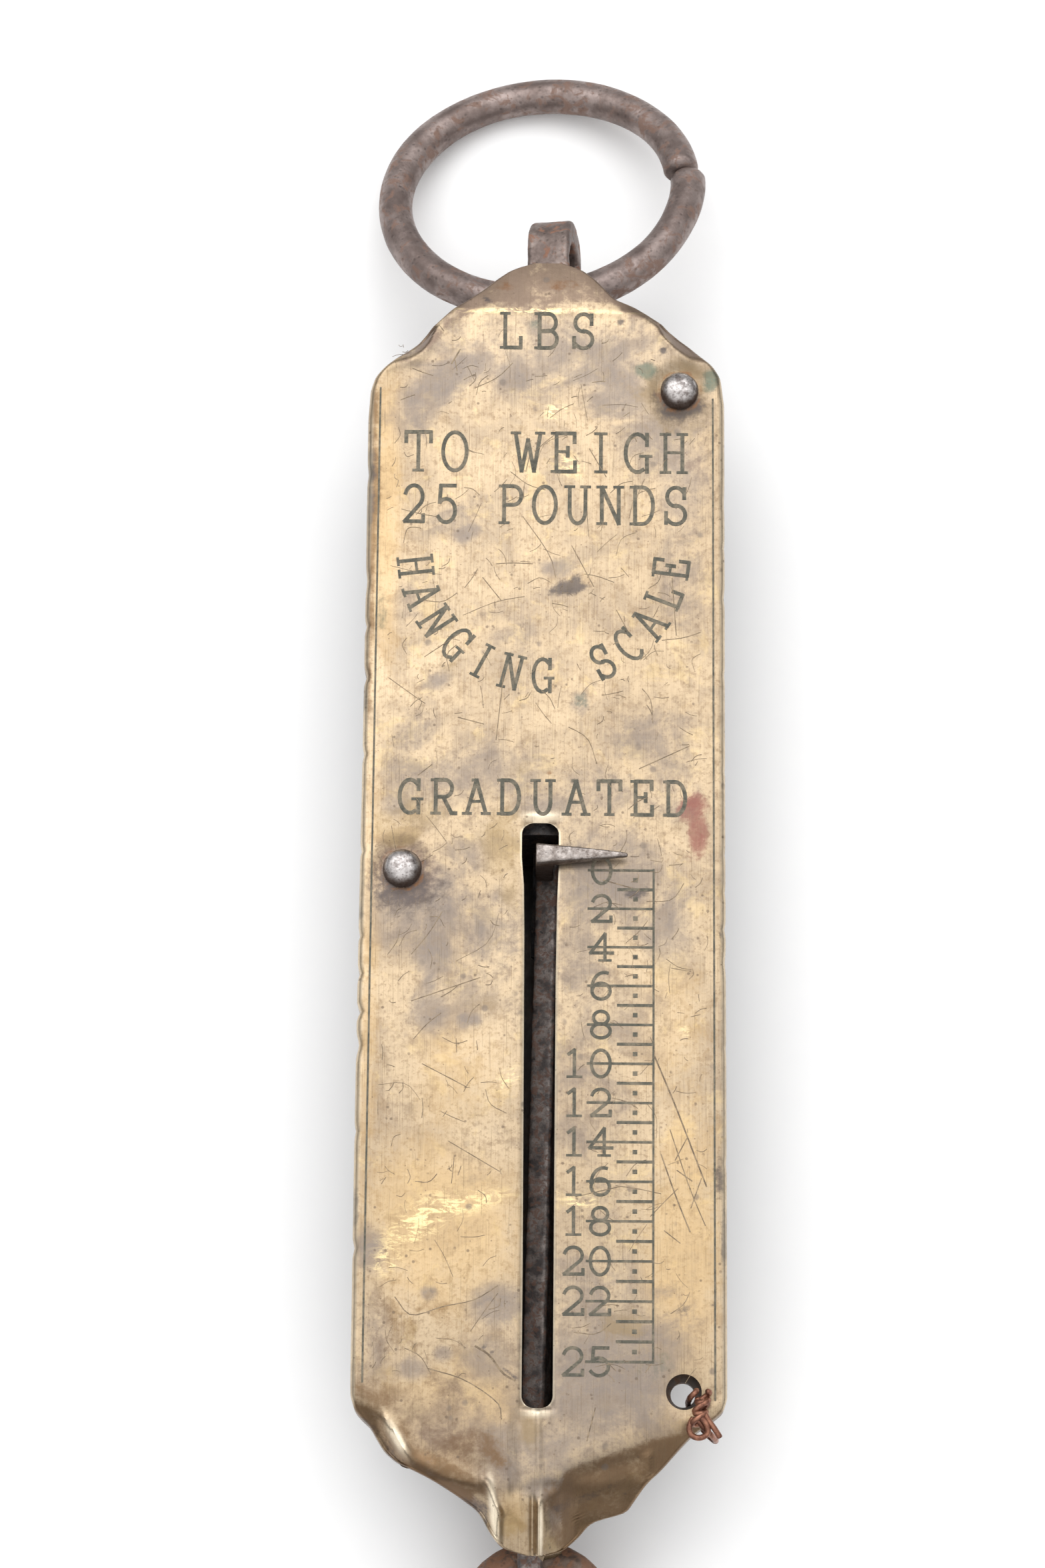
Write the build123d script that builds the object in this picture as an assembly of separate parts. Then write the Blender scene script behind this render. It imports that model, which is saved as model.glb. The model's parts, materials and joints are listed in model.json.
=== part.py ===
"""Hanging spring scale: brass face, iron spring case, draw bar with pointer, ring and load hook.

Units are millimetres. The scale lies on its back: +Z is the way the face looks, +Y runs from the hook
to the ring, and the origin is on the flat back of the spring case, half way along the face.
"""
import math
import os

from build123d import *

# Driving dimensions of the case.
CASE_DEPTH = 19.0           # back of the trough to the front of the face
FACE_WIDTH = 38.0
SHEET = 0.55                # brass sheet
EDGE_FOLD = 3.5             # depth of the folded edges
EDGE_RADIUS = 1.4           # outside radius of the long folds
IRON = 0.8                  # iron sheet of the back channel
TROUGH_WIDTH = 16.8
TROUGH_TOP = 61.5
TROUGH_BOTTOM = -60.5
TROUGH_RADIUS = 3.0
END_PLATE = 1.2

# Face details.
SHOULDER_TOP = 56.9         # where the sides meet the slanted shoulders
SHOULDER_BOTTOM = -53.2
LIP_CENTRE = (-0.4, 60.7)   # centre of the domed top lip
LIP_RADIUS = 8.95
TOP_BEND = 63.4             # the face bends back above this line
TOP_SLOPE = 11.0
BOTTOM_BEND = -61.4         # and below this one
BOTTOM_SLOPE = 28.0
SLOT_CENTRE_X = -0.2
SLOT_WIDTH = 3.25
SLOT_TOP = 6.65
SLOT_BOTTOM = -54.05
SLOT_CORNER = 1.3

# Rivets.
CORNER_RIVET = (14.2, 54.5)
SIDE_RIVET = (-14.6, 1.65)
OPEN_HOLE = (14.6, -52.3)
RIVET_HEAD_D = 4.0
RIVET_HEAD_H = 1.45
RIVET_SHANK_D = 2.4
RIVET_HOLE_D = 2.5
OPEN_HOLE_D = 3.6
TAIL_D = 3.6
TAIL_H = 0.8
WASHER_D = 5.2
WASHER_H = 0.6

# Spring and the parts in line with it.
SPRING_Z = 10.2
SPRING_OD = 14.0
SPRING_WIRE = 1.8
SPRING_PITCH = 2.05
SPRING_TURNS = 22
SPRING_TOP = 52.5
PLUG_CORE_D = 10.2
PLUG_CORE_H = 6.0
PLUG_RIM_D = 13.6
PLUG_RIM_H = 1.5
PIN_D = 2.2
PIN_TOP_Y = 57.0
PIN_PLAY = 0.04
FORK_DEPTH = 8.0
TONGUE_THICK = 2.6

# Suspension eye and ring.
EYE_X = 0.2
EYE_Z = 13.15
EYE_WIDTH = 4.6
EYE_DEPTH = 7.3
EYE_TOP = 75.95
EYE_CROWN = 2.8             # metal above the slot
EYE_SLOT = 5.4
EYE_SHOULDER = 62.4
EYE_SHANK = 3.0
EYE_CROWN_FILLET = 0.9
EYE_ROLL = -12.0            # the eye is twisted a little about Y
RING_A = 16.17              # the ring is slightly out of round
RING_B = 15.43
RING_BAR = 3.8
RING_HINGE_Y = 67.15
RING_TILT = -20.4
RING_ROLL = -6.9
RING_SHIFT = 1.76           # the eye holds the ring that far from the ring's near point
RING_GAP = 0.5
RING_GAP_ANGLE = 9.0

# Draw bar and pointer.
BAR_WIDTH = 2.4
BAR_THICK = 3.0
BAR_Z = 11.5
BAR_TOP = 5.4
BAR_PIN_D = 1.6
PIN_LOW_Y = -3.0
BAR_ROLL = -15.0
BAR_LEAN = 1.1              # degrees, top towards +X
BAR_MID = (0.1, -35.0)      # a point on the bar's centre line
LOOP_Y = -68.25
LOOP_INNER_R = 3.05
LOOP_METAL = 1.7
LOOP_WIDTH = 2.0
POINTER_Y = 2.85
POINTER_LEFT = -0.75
POINTER_TIP = 8.8
POINTER_BASE = 2.1
POINTER_END = 0.45
POINTER_GAP = 0.5           # clear of the face
POINTER_THICK = 1.7
STEM_RIGHT = 1.15
TENON_D = 1.6
TENON_X = 0.5

# Load hook.
HOOK_X = 0.1
HOOK_BAR = 4.0
HOOK_EYE_R = 6.4            # centre line of the hook's eye
HOOK_NECK_R = 8.0
HOOK_NECK_TURN = 60.0
HOOK_BOWL_R = 9.5
HOOK_BOWL_TURN = 240.0
HOOK_FLARE_R = 6.0
HOOK_FLARE_TURN = 35.0
HOOK_TIP_D = 1.6

# Seal wire.
WIRE_D = 0.6

HALF = FACE_WIDTH / 2
FLANGE_BOTTOM = CASE_DEPTH - EDGE_FOLD
FLANGE_TOP = FLANGE_BOTTOM + IRON
SPRING_BOTTOM = SPRING_TOP - SPRING_TURNS * SPRING_PITCH
SHANK_Z = (EYE_SHANK - EYE_DEPTH) / 2     # the eye's shank is set back, towards the spring
LOOP_OUTER_R = LOOP_INNER_R + LOOP_METAL
LOOP_Z = BAR_Z + BAR_THICK / 2 - LOOP_OUTER_R
HOOK_LENGTH = (2 * HOOK_EYE_R + HOOK_BOWL_R
               + (HOOK_NECK_R + HOOK_BOWL_R) * math.sin(math.radians(HOOK_NECK_TURN)))
HOOK_REST = 0.02            # the hook lies this far clear of the table
BIG = 200.0


def face_outline():
    """Outline of the brass face, seen from the front."""
    left_x, right_x = -8.9, 8.1
    lip = [(x, LIP_CENTRE[1] + math.sqrt(LIP_RADIUS ** 2 - (x - LIP_CENTRE[0]) ** 2))
           for x in (left_x, LIP_CENTRE[0], right_x)]
    with BuildSketch() as outline:
        with BuildLine():
            ThreePointArc(*lip)
            Polyline(lip[2], (10.2, 63.2), (17.6, 57.6), (HALF, SHOULDER_TOP - 1.8),
                     (HALF, SHOULDER_BOTTOM), (17.0, -55.5), (9.0, -63.7), (5.6, -64.8),
                     (2.6, -68.5), (-3.9, -68.5), (-5.3, -64.8), (-12.6, -60.6),
                     (-16.2, -57.2), (-HALF, SHOULDER_BOTTOM), (-HALF, SHOULDER_TOP - 1.8),
                     (-17.6, 56.7), lip[0])
        make_face()
    return outline.sketch


def tilted_cutter(x, y, out_x, out_y, slope, depth):
    """A big block on top of a plane that drops by slope degrees towards (out_x, out_y)."""
    length = math.hypot(out_x, out_y)
    rise = math.sin(math.radians(slope)) / length
    normal = Vector(out_x * rise, out_y * rise, math.cos(math.radians(slope)))
    origin = Vector(x, y, CASE_DEPTH) - normal * depth
    return Plane(origin=origin, z_dir=normal) * Box(BIG, BIG, BIG / 4, align=(Align.CENTER,
                                                    Align.CENTER, Align.MIN))


def folded_body(inset):
    """The block inside the brass face's outer surface, or that far inside it."""
    outline = offset(face_outline(), -inset) if inset else face_outline()
    body = Pos(0, 0, CASE_DEPTH - 8) * extrude(outline, 8)
    width = FACE_WIDTH - 2 * inset
    section = Plane.XZ * Pos(0, CASE_DEPTH - inset - 5) * RectangleRounded(
        width, 10, EDGE_RADIUS - inset)
    if inset:
        body += Pos(0, TOP_BEND + 5, CASE_DEPTH - 4) * Box(30, 10, 8)
        body += Pos(0, BOTTOM_BEND - 7.5, CASE_DEPTH - 4) * Box(30, 10, 8)
    body &= extrude(section, BIG, both=True)
    for fold in (
        (0, TOP_BEND, 0, 1, TOP_SLOPE),
        (0, BOTTOM_BEND, 0, -1, BOTTOM_SLOPE),
        (-10.5, 62.3, -0.76, 0.65, 40.0),
        (12.0, 62.0, 0.65, 0.76, 35.0),
        (-16.5, -55.2, -0.52, -0.85, 36.0),
        (15.0, -55.7, 0.4, -0.92, 22.0),
    ):
        body -= tilted_cutter(*fold, inset)
    return body


def front_plate():
    sheet = folded_body(0) - folded_body(SHEET)
    walls_end = FLANGE_BOTTOM
    sheet -= Pos(0, (TOP_BEND + BOTTOM_BEND) / 2, walls_end - 10) * Box(
        BIG, TOP_BEND - BOTTOM_BEND + 5, 20)
    slot = Pos(SLOT_CENTRE_X, (SLOT_TOP + SLOT_BOTTOM) / 2, CASE_DEPTH - 2) * extrude(
        RectangleRounded(SLOT_WIDTH, SLOT_TOP - SLOT_BOTTOM, SLOT_CORNER), 4)
    sheet -= slot
    for (x, y), diameter in ((CORNER_RIVET, RIVET_HOLE_D), (SIDE_RIVET, RIVET_HOLE_D),
                             (OPEN_HOLE, OPEN_HOLE_D)):
        sheet -= Pos(x, y, CASE_DEPTH) * Cylinder(diameter / 2, 4)
    return sheet.solids().sort_by(SortBy.VOLUME)[-1]


def trough_section(inset):
    """Cross-section of the trough, open towards the face."""
    width = TROUGH_WIDTH - 2 * inset
    top = FLANGE_TOP
    radius = TROUGH_RADIUS - inset
    with BuildSketch(Plane.XZ) as section:
        with Locations((0, top / 2 + inset / 2)):
            Rectangle(width, top - inset)
        corners = section.vertices().sort_by(Axis.Y)[:2]
        fillet(corners, radius)
    return section.sketch


def back_channel():
    flange = Polygon((18.25, 55.0), (11.0, 61.0), (-10.5, 61.0), (-16.0, 57.0), (-18.25, 55.0),
                     (-18.25, -53.2), (-15.6, -56.5), (-9.0, -60.5), (9.0, -60.5), (16.2, -55.3),
                     (18.25, -53.2), align=None)
    plate = Pos(0, 0, FLANGE_BOTTOM) * extrude(flange, IRON)
    length = TROUGH_TOP - TROUGH_BOTTOM
    channel = Pos(0, TROUGH_TOP, 0) * extrude(trough_section(0), length)
    hollow = Pos(0, TROUGH_TOP + 1, 0) * extrude(trough_section(IRON), length + 2)
    back = plate + channel - hollow
    for x, y in (CORNER_RIVET, SIDE_RIVET, OPEN_HOLE):
        back -= Pos(x, y, FLANGE_BOTTOM) * Cylinder(RIVET_HOLE_D / 2, 4)
    return back


def end_plate(y_low, height):
    """A plate that fits inside the trough, up to that height."""
    block = Pos(0, y_low + END_PLATE, 0) * extrude(trough_section(IRON + 0.02), END_PLATE)
    return block & Pos(0, 0, height / 2) * Box(BIG, BIG, height)


def top_end_plate():
    plate = end_plate(TROUGH_TOP - END_PLATE, FLANGE_TOP)
    opening = Pos(0, TROUGH_TOP, SHANK_Z) * Box(EYE_WIDTH + 0.4, 6, EYE_SHANK + 0.4)
    return plate - eye_frame() * opening


def bottom_end_plate():
    plate = end_plate(TROUGH_BOTTOM, FLANGE_TOP)
    opening = Pos(0.2, TROUGH_BOTTOM, BAR_Z) * Box(5.6, 6, 4.6)
    return plate - opening


def eye_frame():
    """Placement of the suspension eye: Z = 0 is the middle of its slot."""
    return Pos(EYE_X, 0, EYE_Z) * Rot(0, EYE_ROLL, 0)


def rivet(x, y):
    dome_r = (RIVET_HEAD_D ** 2 / 4 + RIVET_HEAD_H ** 2) / (2 * RIVET_HEAD_H)
    head = Pos(0, 0, CASE_DEPTH + RIVET_HEAD_H - dome_r) * Sphere(dome_r)
    head &= Pos(0, 0, CASE_DEPTH + 5) * Box(10, 10, 10)
    tail_z = FLANGE_BOTTOM - WASHER_H
    shank = Pos(0, 0, (CASE_DEPTH + tail_z) / 2) * Cylinder(RIVET_SHANK_D / 2, CASE_DEPTH - tail_z)
    tail = Pos(0, 0, tail_z - TAIL_H / 2) * Cylinder(TAIL_D / 2, TAIL_H)
    tail = chamfer(tail.edges().sort_by(Axis.Z)[:1], 0.3)
    return Pos(x, y, 0) * (head + shank + tail)


def rivet_washer(x, y):
    ring = Cylinder(WASHER_D / 2, WASHER_H) - Cylinder(RIVET_HOLE_D / 2, WASHER_H * 2)
    return Pos(x, y, FLANGE_BOTTOM - WASHER_H / 2) * ring


def coil_spring():
    height = SPRING_TURNS * SPRING_PITCH
    radius = (SPRING_OD - SPRING_WIRE) / 2
    path = Helix(SPRING_PITCH, height - SPRING_WIRE, radius)
    section = Plane(origin=path @ 0, z_dir=path % 0) * Circle(SPRING_WIRE / 2)
    coil = sweep(section, path=path, is_frenet=True)
    return Pos(0, SPRING_BOTTOM + SPRING_WIRE / 2, SPRING_Z) * Rot(-90, 0, 0) * coil


def y_cylinder(diameter, y_low, y_high):
    """A cylinder along the Y axis."""
    return Pos(0, (y_low + y_high) / 2, 0) * Rot(90, 0, 0) * Cylinder(diameter / 2, y_high - y_low)


def upper_spring_plug():
    core = y_cylinder(PLUG_CORE_D, SPRING_TOP - PLUG_CORE_H, SPRING_TOP)
    rim = y_cylinder(PLUG_RIM_D, SPRING_TOP, SPRING_TOP + PLUG_RIM_H)
    low = SPRING_TOP + PLUG_RIM_H - 0.5
    high = TROUGH_TOP - END_PLATE - 0.1
    fork = Pos(0, (low + high) / 2, SHANK_Z) * Box(7.0, high - low, FORK_DEPTH)
    slot = Pos(0, (low + high) / 2 + 1.5, SHANK_Z) * Box(BIG, high - low, EYE_SHANK + 0.1)
    plug = Pos(0, 0, SPRING_Z) * (core + rim) + eye_frame() * (fork - slot)
    return plug - eye_frame() * pin_hole(PIN_TOP_Y)


def pin_hole(y):
    return Pos(0, y, 0) * Cylinder(PIN_D / 2 + PIN_PLAY, BIG / 5)


def eye_pin():
    return eye_frame() * Pos(0, PIN_TOP_Y, SHANK_Z) * Cylinder(PIN_D / 2, FORK_DEPTH + 0.6)


def suspension_eye():
    radius = EYE_DEPTH / 2
    half_slot = EYE_SLOT / 2
    top_centre = EYE_TOP - radius
    body = Pos(0, (EYE_SHOULDER + top_centre) / 2, 0) * Box(
        EYE_WIDTH, top_centre - EYE_SHOULDER, EYE_DEPTH)
    body += Pos(0, top_centre, 0) * Rot(0, 90, 0) * Cylinder(radius, EYE_WIDTH)
    slot_top = EYE_TOP - EYE_CROWN - half_slot
    slot_low = RING_HINGE_Y
    body -= Pos(0, (slot_low + slot_top) / 2, 0) * Box(BIG, slot_top - slot_low, EYE_SLOT)
    for y in (slot_low, slot_top):
        body -= Pos(0, y, 0) * Rot(0, 90, 0) * Cylinder(half_slot, BIG)
    crown = body.edges().filter_by(GeomType.CIRCLE).sort_by(Axis.Y)[-2:]
    body = fillet(crown, EYE_CROWN_FILLET)
    shank_low = SPRING_TOP + PLUG_RIM_H + 1.1
    shank = Pos(0, (shank_low + EYE_SHOULDER) / 2, SHANK_Z) * Box(
        EYE_WIDTH, EYE_SHOULDER - shank_low, EYE_SHANK)
    return eye_frame() * (body + shank - pin_hole(PIN_TOP_Y))


def suspension_ring():
    """An open iron ring in its own plane, its near side on the hinge line."""
    path = Ellipse(RING_A, RING_B).wire()
    near = Plane(origin=(RING_A, 0, 0), x_dir=(1, 0, 0), z_dir=(0, 1, 0))
    ring = sweep(near * Circle(RING_BAR / 2), path=path)
    cut = Rot(0, 0, RING_GAP_ANGLE) * Pos(RING_A, 0, 0) * Box(8, RING_GAP, 8)
    to_centre = RING_B * math.sqrt(1 - (RING_SHIFT / RING_A) ** 2)
    hinge = Pos(EYE_X, RING_HINGE_Y, EYE_Z) * Rot(0, RING_ROLL, 0) * Rot(RING_TILT, 0, 0)
    return hinge * Pos(-RING_SHIFT, to_centre, 0) * (ring - cut)


def bar_frame():
    """Placement of the draw bar: its centre line leans a little and the bar is twisted."""
    return Pos(BAR_MID[0], BAR_MID[1], BAR_Z) * Rot(0, 0, -BAR_LEAN) * Rot(0, BAR_ROLL, 0)


def bar_hole(y, radius):
    """A hole through the bar's thickness, at that place along it."""
    return bar_frame() * Pos(0, y - BAR_MID[1], 0) * Cylinder(radius, BIG / 5)


def lower_spring_plug():
    core = y_cylinder(PLUG_CORE_D, SPRING_BOTTOM, SPRING_BOTTOM + PLUG_CORE_H)
    rim = y_cylinder(PLUG_RIM_D, SPRING_BOTTOM - PLUG_RIM_H, SPRING_BOTTOM)
    high = SPRING_BOTTOM - PLUG_RIM_H + 0.5
    low = PIN_LOW_Y - 2.5
    tongue_z = -(BAR_THICK + TONGUE_THICK) / 2 - 0.05
    tongue = Pos(0, (low + high) / 2 - BAR_MID[1], tongue_z) * Box(4.6, high - low, TONGUE_THICK)
    plug = Pos(0, 0, SPRING_Z) * (core + rim) + bar_frame() * tongue
    return plug - bar_hole(PIN_LOW_Y, BAR_PIN_D / 2 + PIN_PLAY)


def bar_pin():
    length = BAR_THICK + TONGUE_THICK + 0.5
    middle = -(TONGUE_THICK + 0.5) / 2
    return bar_frame() * Pos(0, PIN_LOW_Y - BAR_MID[1], middle) * Cylinder(BAR_PIN_D / 2, length)


def draw_bar():
    low = LOOP_Y + LOOP_OUTER_R - 1.0 - BAR_MID[1]
    high = BAR_TOP - BAR_MID[1]
    loop_y = LOOP_Y - BAR_MID[1]
    loop_z = LOOP_Z - BAR_Z
    across = Rot(0, 90, 0)
    bar = Pos(0, (low + high) / 2, 0) * Box(BAR_WIDTH, high - low, BAR_THICK)
    bar += Pos(0, (loop_y + low) / 2, (BAR_THICK - LOOP_METAL) / 2) * Box(
        LOOP_WIDTH, low - loop_y, LOOP_METAL)
    bar += Pos(0, loop_y, loop_z) * across * Cylinder(LOOP_OUTER_R, LOOP_WIDTH)
    bar -= Pos(0, loop_y, loop_z) * across * Cylinder(LOOP_INNER_R, BIG)
    bar = bar_frame() * bar - bar_hole(PIN_LOW_Y, BAR_PIN_D / 2 + PIN_PLAY)
    return bar - Pos(TENON_X, POINTER_Y, BAR_Z) * Cylinder(TENON_D / 2 + PIN_PLAY, 12)


def pointer():
    bottom = CASE_DEPTH + POINTER_GAP
    needle_plan = Polygon((POINTER_LEFT, POINTER_Y + POINTER_BASE / 2),
                          (POINTER_LEFT, POINTER_Y - POINTER_BASE / 2),
                          (POINTER_TIP, POINTER_Y - POINTER_END / 2),
                          (POINTER_TIP, POINTER_Y + POINTER_END / 2), align=None)
    needle = Pos(0, 0, bottom) * extrude(needle_plan, POINTER_THICK)
    front_edges = needle.edges().group_by(Axis.Z)[-1]
    needle = chamfer(front_edges, 0.18)
    stem_low = BAR_Z + BAR_THICK / 2 + 0.35
    stem = Pos((POINTER_LEFT + STEM_RIGHT) / 2, POINTER_Y, (stem_low + bottom + 0.5) / 2) * Box(
        STEM_RIGHT - POINTER_LEFT, POINTER_BASE, bottom + 0.5 - stem_low)
    tenon_low = BAR_Z - BAR_THICK / 2
    tenon = Pos(TENON_X, POINTER_Y, (tenon_low + stem_low) / 2) * Cylinder(
        TENON_D / 2, stem_low - tenon_low)
    return needle + stem + tenon


def hook_path():
    """Centre line of the hook below its eye, in the hook's own plane."""
    start = (0, -2 * HOOK_EYE_R, 0)
    neck = JernArc(start, (0, -1, 0), HOOK_NECK_R, HOOK_NECK_TURN)
    bowl = JernArc(neck @ 1, neck % 1, HOOK_BOWL_R, -HOOK_BOWL_TURN)
    flare = JernArc(bowl @ 1, bowl % 1, HOOK_FLARE_R, HOOK_FLARE_TURN)
    return neck, bowl, flare


def load_hook():
    neck, bowl, flare = hook_path()
    radius = HOOK_BAR / 2
    eye = Pos(0, -HOOK_EYE_R, 0) * Torus(HOOK_EYE_R, radius)
    shape = eye
    for arc in (neck, bowl):
        section = Plane(origin=arc @ 0, z_dir=arc % 0) * Circle(radius)
        shape += sweep(section, path=arc)
    root = Plane(origin=flare @ 0, z_dir=flare % 0) * Circle(radius)
    end = Plane(origin=flare @ 1, z_dir=flare % 1) * Circle(HOOK_TIP_D / 2)
    shape += sweep([root, end], path=flare, multisection=True)
    shape += Pos(flare @ 1) * Sphere(HOOK_TIP_D / 2)
    drop = math.degrees(math.asin((LOOP_Z - radius - HOOK_REST) / HOOK_LENGTH))
    return Pos(HOOK_X, LOOP_Y, LOOP_Z) * Rot(drop, 0, 0) * shape


def seal_wire():
    """Copper wire through the open hole and round the edge, with a twist and a tail on the front."""
    radius = WIRE_D / 2
    front = CASE_DEPTH + 0.85
    back = FLANGE_BOTTOM - radius - 0.05
    hole = (15.1, -52.9)
    edge = (17.6, -57.1)
    loop = FilletPolyline((hole[0], hole[1], back), (hole[0], hole[1], front),
                          (edge[0], edge[1], front), (edge[0], edge[1], back),
                          radius=0.9, close=True)
    wire = sweep(Plane(origin=loop @ 0.02, z_dir=loop % 0.02) * Circle(radius), path=loop)
    knot = Pos(16.2, -54.7, front + 0.3) * Rot(70, 0, 30) * Torus(0.75, radius)
    tail_line = Line((16.4, -54.9, front + 0.4), (18.2, -57.0, front + 0.6))
    tail = sweep(Plane(origin=tail_line @ 0, z_dir=tail_line % 0) * Circle(radius), path=tail_line)
    return wire + knot + tail


def build_all():
    return {
        "front_plate": front_plate(),
        "back_channel": back_channel(),
        "top_end_plate": top_end_plate(),
        "bottom_end_plate": bottom_end_plate(),
        "corner_rivet": rivet(*CORNER_RIVET),
        "side_rivet": rivet(*SIDE_RIVET),
        "corner_rivet_washer": rivet_washer(*CORNER_RIVET),
        "side_rivet_washer": rivet_washer(*SIDE_RIVET),
        "suspension_eye": suspension_eye(),
        "eye_pin": eye_pin(),
        "upper_spring_plug": upper_spring_plug(),
        "coil_spring": coil_spring(),
        "lower_spring_plug": lower_spring_plug(),
        "bar_pin": bar_pin(),
        "draw_bar": draw_bar(),
        "pointer": pointer(),
        "load_hook": load_hook(),
        "suspension_ring": suspension_ring(),
        "seal_wire": seal_wire(),
    }


def main():
    os.makedirs("parts", exist_ok=True)
    for name, shape in build_all().items():
        export_step(shape, f"parts/{name}.step")
        print(name, "solids", len(shape.solids()), "volume %.1f" % shape.volume)


main()
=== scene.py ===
"""Hanging spring scale: the looks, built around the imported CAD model.

Lengths are millimetres in the CAD frame and become metres in the meshes. The brass face is a height map
over a battered outline; the iron parts are swept tubes and bevelled profiles; the lettering is inlaid.
"""
import json
import math

import bmesh
import bpy
import numpy as np
from mathutils import Matrix, Vector, noise


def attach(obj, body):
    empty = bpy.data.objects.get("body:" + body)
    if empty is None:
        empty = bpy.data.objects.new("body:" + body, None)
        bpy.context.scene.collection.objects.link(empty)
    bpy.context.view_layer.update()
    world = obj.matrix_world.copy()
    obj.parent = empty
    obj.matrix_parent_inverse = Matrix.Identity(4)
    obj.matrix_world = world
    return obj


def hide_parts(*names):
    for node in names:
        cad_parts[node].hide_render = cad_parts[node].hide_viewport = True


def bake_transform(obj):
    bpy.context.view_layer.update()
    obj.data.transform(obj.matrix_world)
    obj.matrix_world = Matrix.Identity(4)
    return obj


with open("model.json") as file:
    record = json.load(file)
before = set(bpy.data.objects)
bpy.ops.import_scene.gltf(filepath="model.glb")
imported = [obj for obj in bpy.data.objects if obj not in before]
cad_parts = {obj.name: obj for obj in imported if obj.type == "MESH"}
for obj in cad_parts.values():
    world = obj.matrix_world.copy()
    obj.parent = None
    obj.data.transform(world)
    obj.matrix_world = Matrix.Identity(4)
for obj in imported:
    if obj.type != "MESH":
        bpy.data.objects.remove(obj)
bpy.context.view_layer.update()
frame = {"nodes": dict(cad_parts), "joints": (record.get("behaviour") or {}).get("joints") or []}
scene = bpy.context.scene
MM = 0.001
rng = np.random.default_rng(7)

# ---------------------------------------------------------------- places and sizes
FACE_Z = 19.0                   # front of the brass
SHEET = 0.55
WALL = 3.5                      # folded side walls
SLOT_LEFT, SLOT_RIGHT = -1.83, 1.43
SLOT_TOP, SLOT_LOW = 6.65, -54.05
SLOT_CORNER = 1.25              # rounding of the ends of the slot
RIVETS = ((14.2, 54.5), (-14.6, 1.65))
OPEN_HOLE = (14.6, -52.3)       # the hole whose rivet is missing
OPEN_RADIUS = 1.8
JOINTS = {joint["name"]: joint for joint in frame["joints"]}
RING_PIN = Vector(JOINTS["ring_swing"]["pos_m"]) / MM
RING_AXIS = Vector(JOINTS["ring_swing"]["axis"])
HOOK_PIN = Vector(JOINTS["hook_swing"]["pos_m"]) / MM


# ---------------------------------------------------------------- materials
class Surface:
    """A node material whose patterns are measured in millimetres of the object's own space."""

    def __init__(self, name, metallic=0.0, roughness=0.5):
        self.material = bpy.data.materials.new(name)
        self.material.use_nodes = True
        self.tree = self.material.node_tree
        self.shader = self.tree.nodes["Principled BSDF"]
        self.shader.inputs["Metallic"].default_value = metallic
        self.shader.inputs["Roughness"].default_value = roughness
        place = self.add("TexCoord").outputs["Object"]
        self.place = self.add("VectorMath", {0: place, 1: (1 / MM,) * 3}, operation="MULTIPLY").outputs[0]

    def add(self, kind, inputs=None, **settings):
        """A new node with its inputs linked or set."""
        node = self.tree.nodes.new("ShaderNode" + kind)
        for name, value in settings.items():
            setattr(node, name, value)
        for socket, value in (inputs or {}).items():
            self.feed(node.inputs[socket], value)
        return node

    def feed(self, socket, value):
        """Links a socket to another one, or gives it a value."""
        if isinstance(value, bpy.types.NodeSocket):
            self.tree.links.new(value, socket)
        else:
            socket.default_value = value

    def stretched(self, stretch, turn=0.0, shift=(0, 0, 0)):
        """The place, turned about Z and stretched, so that a pattern can have a direction."""
        return self.add("Mapping", {"Vector": self.place, "Location": shift, "Scale": stretch,
                                    "Rotation": (0, 0, math.radians(turn))}).outputs[0]

    def noise(self, size, detail=4.0, rough=0.55, place=None, distortion=0.0):
        """Noise whose largest features are about size millimetres."""
        node = self.add("TexNoise", {"Vector": place or self.place, "Scale": 1 / size, "Detail": detail,
                                     "Roughness": rough, "Distortion": distortion})
        return node.outputs["Fac"]

    def cells(self, size):
        """Distance from the middles of round spots about size millimetres apart."""
        return self.add("TexVoronoi", {"Vector": self.place, "Scale": 1 / size}).outputs["Distance"]

    def step(self, value, low, high, to_low=0.0, to_high=1.0):
        """A smooth change from to_low to to_high while the value goes from low to high."""
        node = self.add("MapRange", {"Value": value, "From Min": low, "From Max": high,
                                     "To Min": to_low, "To Max": to_high}, interpolation_type="SMOOTHSTEP")
        return node.outputs["Result"]

    def math(self, operation, first, second):
        return self.add("Math", {0: first, 1: second}, operation=operation).outputs[0]

    def plus(self, first, second):
        return self.math("ADD", first, second)

    def minus(self, first, second):
        return self.math("SUBTRACT", first, second)

    def times(self, first, second):
        return self.math("MULTIPLY", first, second)

    def mix(self, factor, first, second):
        """A colour part of the way from the first to the second; tuples are sRGB from 0 to 255."""
        node = self.add("Mix", data_type="RGBA")
        for index, value in ((0, factor), (6, first), (7, second)):
            self.feed(node.inputs[index], colour(value) if isinstance(value, tuple) else value)
        return node.outputs[2]

    def painted(self, name):
        """A value painted on the points of the mesh."""
        return self.add("Attribute", attribute_name=name).outputs["Fac"]

    def bump(self, height, strength, distance_mm, after=None):
        """A surface normal made uneven by a height, on top of another one where it is given."""
        inputs = {"Height": height, "Strength": strength, "Distance": distance_mm * MM}
        if after is not None:
            inputs["Normal"] = after
        return self.add("Bump", inputs).outputs[0]

    def done(self, base, roughness=None, normal=None, metallic=None):
        """Links what is given to the shader and returns the material."""
        self.feed(self.shader.inputs["Base Color"], base)
        for socket, value in (("Roughness", roughness), ("Normal", normal), ("Metallic", metallic)):
            if value is not None:
                self.feed(self.shader.inputs[socket], value)
        return self.material


def colour(rgb):
    """An sRGB colour given from 0 to 255, as linear RGBA."""
    linear = [(v / 255 / 12.92) if v <= 10 else ((v / 255 + 0.055) / 1.055) ** 2.4 for v in rgb]
    return (*linear, 1.0)


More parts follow.
